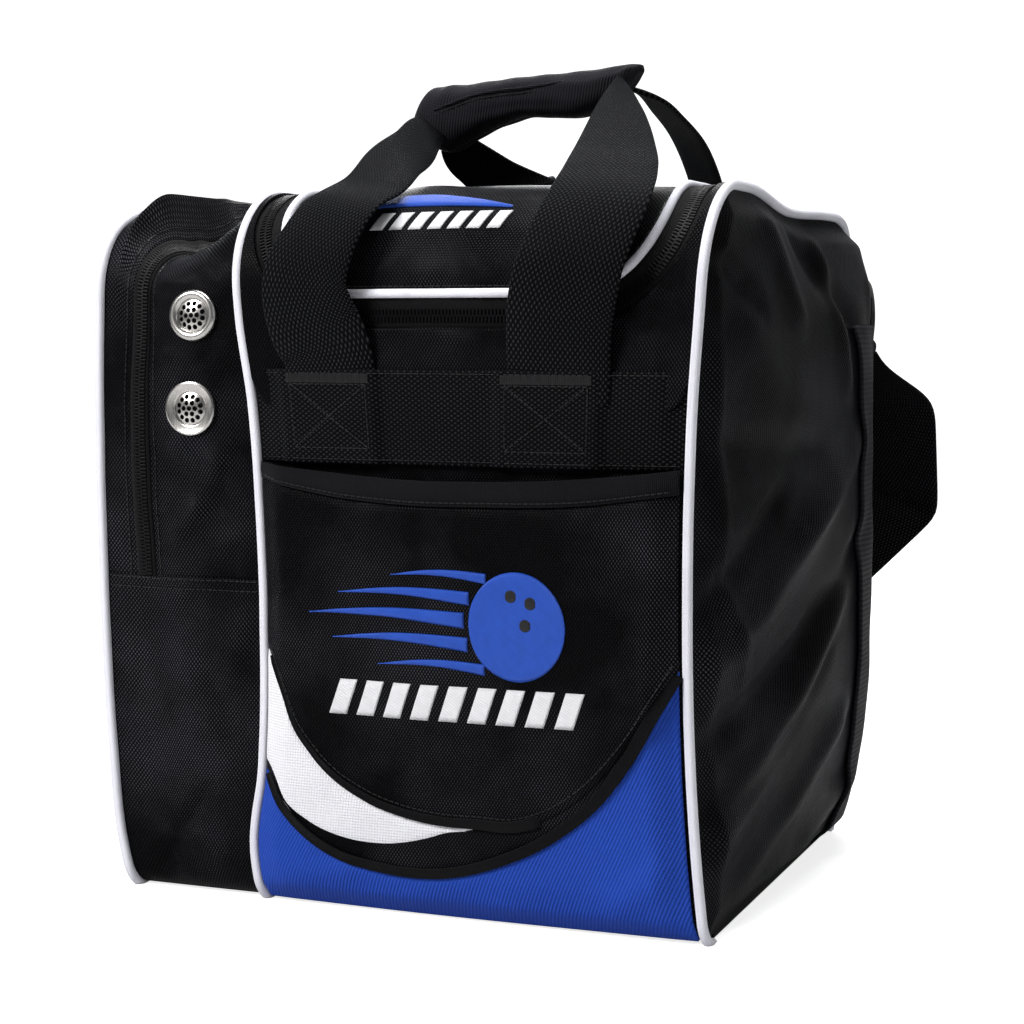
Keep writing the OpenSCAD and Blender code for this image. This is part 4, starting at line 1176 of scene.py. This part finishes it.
def ring_loop(name, x, tab, replaces=()):
    """Webbing from the bag's back at x = tab, round the ring's bar and back again."""
    a = np.linspace(-math.pi / 2, math.pi / 2, 14)
    side = 1 if x > tab else -1
    bar = 4.1 * MM
    halfway = (tab + x) / 2
    under = [(tab, RING_Y - 3.2 * MM), (halfway, RING_Y - 3.6 * MM)]
    turn = np.stack([x + side * bar * np.cos(a), RING_Y + bar * np.sin(a)], axis=1)
    over = [(halfway, RING_Y + 2.2 * MM), (tab + side * 4 * MM, RING_Y + 0.2 * MM), (tab, RING_Y - 1.0 * MM)]
    flat = np.concatenate([under, turn, over])
    path = np.stack([flat[:, 0], flat[:, 1], np.full(len(flat), RING_Z)], axis=1)
    return webbing(name, path, (0, 0, 1), 24 * MM, WEBBING, "bag", replaces, thickness=1.7 * MM)


ring_loop("ring_loop_right", RING_XS[1], 140 * MM, ("ring_loops",))
ring_loop("ring_loop_left", RING_XS[0], -128 * MM)

STRAP_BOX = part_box("shoulder_strap")
STRAP_MID = (STRAP_BOX[0].x + STRAP_BOX[1].x) / 2
STRAP_REACH = (RING_XS[1] - RING_XS[0]) / 2
STRAP_W = 40 * MM
STRAP_LOW = STRAP_BOX[0].z
STRAP_Y = 148.2 * MM
FOLD_X = STRAP_BOX[1].x - STRAP_MID
FOLD_Z = 188 * MM
SLOPE_W = STRAP_W * math.sqrt(2)
TURN_X = FOLD_X - FOLD_Z + STRAP_LOW

# Half of the strap as (outer x, outer z, inner x, inner z) from its middle, ring first
STRAP_HALF = [
    (STRAP_REACH + 6 * MM, 284 * MM, STRAP_REACH - 6 * MM, 284 * MM),
    (STRAP_REACH + 10 * MM, 276 * MM, STRAP_REACH - 6 * MM, 276 * MM),
    (FOLD_X - 3 * MM, 255 * MM, FOLD_X - STRAP_W, 255 * MM),
    (FOLD_X, FOLD_Z, FOLD_X - STRAP_W, FOLD_Z - STRAP_W + SLOPE_W),
    (TURN_X, STRAP_LOW, TURN_X - SLOPE_W + STRAP_W, STRAP_LOW + STRAP_W),
    (0, STRAP_LOW, 0, STRAP_LOW + STRAP_W),
]


def strap_edges():
    """Both edges of the whole strap as (x, z) rows, from the right ring to the left one."""
    half = np.array(STRAP_HALF)
    rows = []
    for a, b in zip(half[:-1], half[1:]):
        steps = max(int(np.linalg.norm((b - a)[:2]) / (4 * MM)), 3)
        rows += [a + (b - a) * k / steps for k in range(steps)]
    rows.append(half[-1])
    rows = np.array(rows)
    rows[:, [0, 2]] += STRAP_MID
    other = rows[-2::-1].copy()
    other[:, [0, 2]] = 2 * STRAP_MID - other[:, [0, 2]]
    both = np.concatenate([rows, other])
    for _ in range(7):
        both[1:-1] = (both[:-2] + 2 * both[1:-1] + both[2:]) / 4
    return both


def strap():
    """The strap's webbing behind the bag, with a soft fold where it turns on each side."""
    edges = strap_edges()
    share = np.linspace(0, 1, 15)[None, :, None]
    flat = edges[:, None, :2] * (1 - share) + edges[:, None, 2:] * share
    x, z = flat[..., 0], flat[..., 1]
    inner = (FOLD_X - STRAP_W, FOLD_Z - STRAP_W + SLOPE_W)
    folds = []
    for side in (1, -1):
        start = ((STRAP_MID + side * FOLD_X) / MM, FOLD_Z / MM)
        end = ((STRAP_MID + side * inner[0]) / MM, inner[1] / MM)
        folds.append((start, end, 3.5, 2.6))
    y = STRAP_Y + MM * (ridges(x / MM, z / MM, folds) + 1.1 * ripple(x / MM, z / MM, 90, 51))
    length = run_length(flat.mean(1))
    uv = np.stack(np.broadcast_arrays((share[..., 0] - 0.5) * 2 * WEB_UV_HALF, length[:, None] / MM), axis=-1)
    cloth_grid("shoulder_strap_webbing", np.stack([x, y, z], axis=-1), uv, WEBBING, "strap",
               ("shoulder_strap",), thickness=2.2 * MM)


strap()


def strap_end(name, x):
    """The gathered end of the strap, a sleeve round the ring."""
    a = np.radians(np.linspace(8, 36, 16))
    path = np.stack([np.full(len(a), x), RING_Y + RING_R * np.sin(a), RING_Z - RING_R * np.cos(a)], axis=1)
    puff = 5.2 * MM + 0.5 * MM * np.sin(np.linspace(0, math.pi, len(a)))
    return tube(name, path, puff, WEBBING, "strap", sides=18, up=(1, 0, 0))


strap_end("strap_end_right", RING_XS[1])
strap_end("strap_end_left", RING_XS[0])
shaped_copy("strap_adjuster_moulded", "strap_adjuster", PLASTIC, "strap_slide", (0, 0, 0), 0.9 * MM)

# ---- zip sliders, eyelets and the inside ---------------------------------------------------


def aside(x, y, z):
    """How far the soft fabric has moved sideways at a point of the ideal bag."""
    return soft(np.array([x, y, z], float))[0] - x


lid_aside = aside(-71 * MM, 55 * MM, HEIGHT)
shoe_aside = aside(SHOE_ZIP_X, HALF_DEPTH, 308 * MM)
for name, node, body, move, bevel in (
    ("lid_slider_enamel", "lid_zip_slider", "lid_slider", (lid_aside, 0, 0.2 * MM), 0.5 * MM),
    ("lid_pull_enamel", "lid_zip_pull", "lid_pull", (lid_aside, 0, 0), 0.4 * MM),
    ("shoe_slider_enamel", "shoe_zip_slider", "shoe_slider", (shoe_aside, 0.2 * MM, 0), 0.5 * MM),
    ("shoe_pull_enamel", "shoe_zip_pull", "shoe_pull", (shoe_aside, 0, 0), 0.4 * MM),
):
    shaped_copy(name, node, ENAMEL, body, move, bevel)


def seat_at(x, s):
    """The soft bag's surface at a point: its centre, and unit directions right, up and out."""
    step = 6 * MM
    right = on_bag(x + step, s) - on_bag(x - step, s)
    up = on_bag(x, s + step) - on_bag(x, s - step)
    right = unit(right)
    out = unit(np.cross(right, up))
    return on_bag(x, s, 0.8 * MM), right, np.cross(out, right), out


def ring_points(seat, radius, height, count, middle=(0, 0)):
    """Points of a circle in a seat's plane, raised by height. All sizes in millimetres."""
    centre, right, up, out = seat
    a = np.linspace(0, 2 * math.pi, count, endpoint=False)
    u = (middle[0] + radius * np.cos(a))[:, None]
    v = (middle[1] + radius * np.sin(a))[:, None]
    return centre + (u * right + v * up + height * out) * MM


def lathe(name, profile, seat, look, replaces=()):
    """A turned ring. profile is a closed loop of (radius, height) in millimetres."""
    sides = 64
    verts = np.concatenate([ring_points(seat, r, h, sides) for r, h in profile])
    n = len(profile)
    faces = []
    for i in range(n):
        a, b = i * sides, ((i + 1) % n) * sides
        faces += [(b + k, b + (k + 1) % sides, a + (k + 1) % sides, a + k) for k in range(sides)]
    return add_mesh(name, verts, faces, verts[:, [0, 2]] / MM, look, "bag", replaces, sharp=50)


def closed_stack(rings):
    """Vertices and faces of a solid through a stack of rings, from its outer cap to its inner."""
    faces = swept_faces(len(rings), len(rings[0]))
    return np.concatenate(rings), [face[::-1] for face in faces]


# The eyelets: centres in the CAD, how far the soft cloth carries each one (right, up), and the
# profiles of the raised rim, the flatter one below and the dark backing
EYELET_R = 13 * MM
EYELET_X = (EYELETS[0].x + EYELETS[1].x) / 2
EYELET_ZS = (EYELETS[1].z - EYELET_R, EYELETS[0].z + EYELET_R)
EYELET_MOVES = ((7 * MM, 3 * MM), (1.5 * MM, 0.5 * MM))
RIM = [(8.4, -2.5), (8.4, 0.4), (8.9, 1.2), (10.0, 1.9), (11.4, 2.1), (12.6, 1.6), (13.3, 0.5), (13.4, -0.6),
       (12.0, -2.5)]
FLAT_RIM = [(8.6, -2.5), (8.6, 0.2), (9.0, 0.8), (9.8, 1.0), (12.0, 1.1), (13.0, 1.5), (13.9, 1.0),
            (14.1, -0.4), (12.0, -2.5)]
BACKING = [(0.2, -2.6), (0.2, -1.2), (8.5, -1.2), (8.5, -2.6)]

# The screen: its radius, height and thickness, and its holes as (ring radius, count, first
# angle in degrees), all in millimetres
SCREEN_R = 8.7
SCREEN_HIGH = 1.9
SCREEN_THICK = 0.6
HOLE_R = 1.3
HOLE_RINGS = [(0, 1, 0), (3.2, 6, 0), (6.3, 12, 15)]


def hole_cutter(seat):
    """A prism through each of a screen's holes."""
    verts, faces = [], []
    for radius, count, first in HOLE_RINGS:
        for angle in np.radians(first + np.arange(count) * 360 / count):
            middle = (radius * math.cos(angle), radius * math.sin(angle))
            v, f = closed_stack([ring_points(seat, HOLE_R, depth, 16, middle) for depth in (6, -6)])
            faces += [tuple(len(verts) + k for k in face) for face in f]
            verts += list(v)
    return new_object("cutter", new_mesh("cutter", verts, faces, smooth_faces=False))


def screen(name, seat, replaces=()):
    """A pressed dome with rings of round holes, cut through."""
    radii = np.linspace(0.3, SCREEN_R, 10)
    front = [ring_points(seat, r, SCREEN_HIGH * (1 - (r / SCREEN_R) ** 2), 48) for r in radii]
    back = [ring - SCREEN_THICK * MM * seat[3] for ring in front[::-1]]
    verts, faces = closed_stack(front + back)
    dome = add_mesh(name, verts, faces, verts[:, [0, 2]] / MM, STEEL, "bag", replaces)
    cutter = hole_cutter(seat)
    cut = dome.modifiers.new("holes", "BOOLEAN")
    cut.operation = "DIFFERENCE"
    cut.solver = "EXACT"
    cut.object = cutter
    bpy.context.view_layer.update()
    bake_modifiers(dome)
    bpy.data.objects.remove(cutter)


EYELETS_REPLACE = ((("eyelet_rims",), ("eyelet_screens",)), (("eyelet_washers",), ()))
for number, (right, up) in enumerate(EYELET_MOVES):
    seat = seat_at(EYELET_X + right, float(s_at_front(EYELET_ZS[number] + up)))
    for_rim, for_screen = EYELETS_REPLACE[number]
    lathe(f"eyelet_rim_{number}", (RIM, FLAT_RIM)[number], seat, STEEL, for_rim)
    screen(f"eyelet_screen_{number}", seat, for_screen)
    lathe(f"eyelet_backing_{number}", BACKING, seat, LINING)

carry("base_board", BOARD)
carry("ball_cup", FOAM)

# ---- stitching and embroidery --------------------------------------------------------------


STITCH_PITCH = 3.2 * MM
STITCH_SIZE = np.array([2.4, 0.55, 0.5]) * MM
TACK_PITCH = 0.9 * MM
TACK_SIZE = np.array([0.7, 4.5, 0.8]) * MM
OUT = (0, -1, 0)


def stitches(name, path, up, body, pitch=STITCH_PITCH, size=STITCH_SIZE):
    """A row of thread stitches along a path of points; up is the direction out of the cloth."""
    length = run_length(path)
    at = np.arange(pitch / 2, length[-1] - pitch / 4, pitch)
    up = np.broadcast_to(np.asarray(up, float), path.shape)
    centres, tangent, lift = (sample(rows, length, at) for rows in (path, frames_along(path), up))
    side = unit(np.cross(lift, tangent))
    return join_bars(name, centres, tangent, side, lift, size, STITCH, body)


def bag_row(name, x, s, body="bag", out=0.25 * MM):
    x, s = np.broadcast_arrays(np.asarray(x, float), np.asarray(s, float))
    low, high = on_bag(x, s, out), on_bag(x, s, out + MM)
    return stitches(name, low, (high - low) / MM, body)


def pocket_row(name, edge, rise, out=1.2 * MM):
    x, z = pocket_line(edge, 160, POCKET_LEFT + 3 * MM, POCKET_RIGHT - 3 * MM, rise)
    return stitches(name, on_pocket(x, z, out), OUT, "bag")


pocket_row("stitch_binding", BINDING_EDGE, 2.0 * MM, out=2.2 * MM)
pocket_row("stitch_welt_upper", FIELD_EDGE, 5.5 * MM)
shoe_run = np.linspace(SEAM_OUTER + 4 * MM, SEAM_INNER - 4 * MM, 60)
for number, drop in enumerate((1.5, 6.5)):
    bag_row(f"stitch_shoe_seam_{number}", shoe_run, S_FLAP - drop * MM)
for number, (off, body) in enumerate(((8.5, "bag"), (-8.5, "shoe_flap"))):
    bag_row(f"stitch_shoe_zip_{number}", SHOE_ZIP_X + off * MM, upper, body)

# The seam along the grip's front, in millimetres
seam_x = np.linspace(-30, 74, 60)
seam_z = curve_at(seam_x, [(-30, 417), (-8, 424), (30, 428), (74, 434)])
seam_y = curve_at(seam_x, [(-30, -15.6), (-8, -14.6), (30, -13.4), (74, -7.5)])
seam_path = np.stack([seam_x, seam_y - 1.6, seam_z], axis=1) * MM
tube("grip_seam_fold", seam_path, 1.5 * MM, GRIP_CLOTH, "front_handle", up=(0, 0.4, 1), flat=0.6)
stitches("stitch_grip", seam_path + np.array([0, -0.3, -2.4]) * MM, (0, -1, 0.4), "front_handle")
for number, (off, body) in enumerate(((-7.5, "bag"), (14.5, "lid"))):
    bag_row(f"stitch_lid_zip_{number}", *zip_line(off * MM).T, body, 0.6 * MM)


def band_row(name, corners, pitch=STITCH_PITCH, size=STITCH_SIZE):
    """Stitches on the front band through corners given as (x, z) in millimetres."""
    c = np.array(corners, float)
    runs = [np.linspace(a, b, 24, endpoint=False) for a, b in zip(c[:-1], c[1:])]
    dense = np.concatenate(runs + [c[-1:]]) * MM
    return stitches(name, band_point(dense[:, 0], dense[:, 1], 0.15 * MM), OUT, "bag", pitch=pitch, size=size)


band_row("stitch_band_low", [(-75, 232.5), (155, 232.5)])
band_row("stitch_band_high", [(-75, 275.5), (155, 275.5)])
for number, x in enumerate((-33, 88)):
    box = [(x - 22, 238), (x + 22, 238), (x + 22, 270), (x - 22, 270), (x - 22, 238)]
    band_row(f"stitch_box_{number}", box)
    band_row(f"stitch_cross_a_{number}", [(x - 22, 238), (x + 22, 270)])
    band_row(f"stitch_cross_b_{number}", [(x - 22, 270), (x + 22, 238)])
    band_row(f"bar_tack_{number}", [(x - 24, 273), (x + 24, 273)], TACK_PITCH, TACK_SIZE)


PATCH_RISE = 0.9 * MM
PATCH_THICK = 0.8 * MM


def on_emblem(x, z, out):
    return on_pocket(x, z, 0.9 * MM + out)


def on_lid(x, s, out):
    return on_bag(x, s, 0.4 * MM + out)


def patch(name, x, z, edge, look, place, rise=PATCH_RISE):
    """Raised satin stitch over a grid in millimetres; edge is the distance from its rim."""
    points = place(x * MM, z * MM, rise * (0.35 + 0.65 * smooth(edge)))
    body = "bag" if place is on_emblem else "lid"
    return cloth_grid(name, points, np.stack([x, z], axis=-1), look, body, thickness=PATCH_THICK)


def embroidered(name, low, high, x_range, look, place, steps=60, rows=8, rise=PATCH_RISE):
    """A patch between two curves low(x) and high(x), in millimetres."""
    x = np.linspace(*x_range, steps)
    a = low(x)
    b = np.maximum(high(x), a + 0.5)
    share = np.linspace(0, 1, rows)[:, None]
    z = a[None] * (1 - share) + b[None] * share
    x = np.broadcast_to(x[None], z.shape)
    ends = np.minimum(x - x_range[0], x_range[1] - x)
    edge = np.minimum(np.minimum(share, 1 - share) * (b - a)[None], ends)
    return patch(name, x, z, edge / 1.2, look, place, rise)


def disc(name, centre, radius, look, **settings):
    """A round patch on the pocket, in millimetres."""
    def half(x):
        return np.sqrt(np.maximum(radius ** 2 - (x - centre[0]) ** 2, 0))

    return embroidered(name, lambda x: centre[1] - half(x), lambda x: centre[1] + half(x),
                       (centre[0] - radius, centre[0] + radius), look, on_emblem, **settings)


BALL = (74.0, 153.0)
BALL_R = 27.0
HOLE_PATCH_R = 3.6
disc("emblem_ball", BALL, BALL_R, BLUE_THREAD, rows=30)
for number, centre in enumerate(((82, 165), (71, 168), (79, 154))):
    disc(f"emblem_hole_{number}", centre, HOLE_PATCH_R, STITCH, steps=20, rise=1.4 * MM)


def streak(name, x0, z0, half):
    """A streak behind the ball: its left end, and its half width at the ball."""
    x1 = BALL[0] - math.sqrt(BALL_R ** 2 - (z0 - BALL[1]) ** 2) - 2.5

    def taper(x):
        return half * np.clip((x - x0) / (x1 - x0), 0.04, 1) ** 0.8

    def middle(x):
        return z0 + 2.2 * half_wave((x - x0) / (x1 - x0))

    embroidered(name, lambda x: middle(x) - taper(x), lambda x: middle(x) + taper(x), (x0, x1), BLUE_THREAD,
                on_emblem)


STREAKS = ((2, 176, 2.6), (-30, 166, 3.4), (-48, 155, 4.0), (-34, 143, 3.6), (-6, 131, 2.8))
for number, ends in enumerate(STREAKS):
    streak(f"emblem_streak_{number}", *ends)


def slanted_bar(name, x, low, high, wide, place):
    """One plain slanted bar of satin stitch. x, low, high and wide in millimetres."""
    u = np.linspace(0, 1, 12)[None]
    v = np.linspace(0, 1, 8)[:, None]
    z = low + (high - low) * v + 0 * u
    edge = np.minimum(np.minimum(u, 1 - u) * wide, np.minimum(v, 1 - v) * (high - low))
    patch(name, x + wide * u + BAR_LEAN * (z - low), z, edge, WHITE_THREAD, place)


BAR_LEAN = 0.38
LID_MARK = float(s_at_front(346 * MM)) / MM
for number in range(9):
    slanted_bar(f"emblem_bar_{number}", -36 + 16.2 * number, 104, 122, 10.5, on_emblem)
for number in range(7):
    slanted_bar(f"lid_bar_{number}", -12 + 10.4 * number, LID_MARK, LID_MARK + 11, 7.0, on_lid)


def swoosh(x):
    """How full the lid's stripe is along its run, from 0 to 1."""
    return half_wave(np.clip((x + 30) / 90, 0, 1) ** 0.75)


embroidered("lid_stripe", lambda x: LID_MARK + 13.5 + 2.5 * swoosh(x),
            lambda x: LID_MARK + 15 + 12 * swoosh(x), (-30, 60), BLUE_THREAD, on_lid)

# ---- floor, light and camera ---------------------------------------------------------------


def floor():
    """A pale sweep: flat under the bag and curving up far behind it. It glows for the camera
    only, so that the white ground doesn't light the black cloth."""
    turn = np.linspace(0, math.pi / 2, 16)[1:]
    y = np.concatenate([np.linspace(-3.0, 2.2, 40), 2.2 + 0.8 * np.sin(turn), [3.0]])
    z = np.concatenate([np.zeros(40), 0.8 - 0.8 * np.cos(turn), [4.5]])
    gx, gy = np.meshgrid(np.linspace(-4, 4, 30), y)
    gz = np.broadcast_to(z[:, None], gx.shape)
    points = np.stack([gx, gy, gz - 0.4 * MM], axis=-1).reshape(-1, 3)
    s = Shader("paper", Roughness=0.9, Emission_Color=(1, 1, 1, 1))
    uneven = s.noise(s.place(), 3.0)
    seen = s.node("ShaderNodeLightPath").outputs["Is Camera Ray"]
    s.finish(s.mix(uneven, (0.56, 0.56, 0.56), (0.62, 0.62, 0.62)))
    s.links.new(s.span(seen, 0.05, 0.80), s.bsdf.inputs["Emission Strength"])
    mesh = new_mesh("floor", points, grid_faces(*gx.shape))
    mesh.materials.append(s.mat)
    new_object("floor", mesh)


def softbox(name, at, aim, size, power, tint=(1, 1, 1)):
    """An area light at one point, aimed at another."""
    data = bpy.data.lights.new(name, "AREA")
    data.shape = "RECTANGLE"
    data.size, data.size_y = size
    data.energy = power
    data.color = tint
    lamp = new_object(name, data)
    lamp.location = at
    lamp.rotation_euler = (Vector(aim) - Vector(at)).to_track_quat("-Z", "Y").to_euler()


floor()
softbox("key", (-1.0, -1.6, 1.5), (0, 0, 0.2), (0.8, 0.8), 56, (1.0, 0.99, 0.98))
softbox("fill", (1.8, -0.9, 0.9), (0.05, 0, 0.2), (0.35, 1.0), 2.4, (0.96, 0.98, 1.0))
softbox("top", (0.1, 0.2, 1.8), (0, 0, 0.3), (1.2, 0.8), 34)
softbox("back", (-0.9, 1.7, 1.1), (0, 0, 0.2), (0.9, 0.9), 16)

# White to the camera, and a weak light to the bag
world = bpy.data.worlds.new("studio")
world.use_nodes = True
sky = world.node_tree.nodes["Background"]
seen = world.node_tree.nodes.new("ShaderNodeLightPath").outputs["Is Camera Ray"]
level = world.node_tree.nodes.new("ShaderNodeMapRange")
level.inputs["To Min"].default_value = 0.10
level.inputs["To Max"].default_value = 1.0
world.node_tree.links.new(seen, level.inputs["Value"])
world.node_tree.links.new(level.outputs["Result"], sky.inputs["Strength"])
sky.inputs["Color"].default_value = (1, 1, 1, 1)
bpy.context.scene.world = world
bpy.context.scene.view_settings.view_transform = "Standard"

camera_data = bpy.data.cameras.new("camera")
camera_data.lens = 75.5
camera_data.sensor_width = 36
camera = new_object("camera", camera_data)
camera.location = (0.446, -1.115, 0.300)
yaw, pitch = math.radians(21.4), math.radians(5.0)
look = Vector((-math.sin(yaw) * math.cos(pitch), math.cos(yaw) * math.cos(pitch), -math.sin(pitch)))
camera.rotation_euler = look.to_track_quat("-Z", "Y").to_euler()
bpy.context.scene.camera = camera
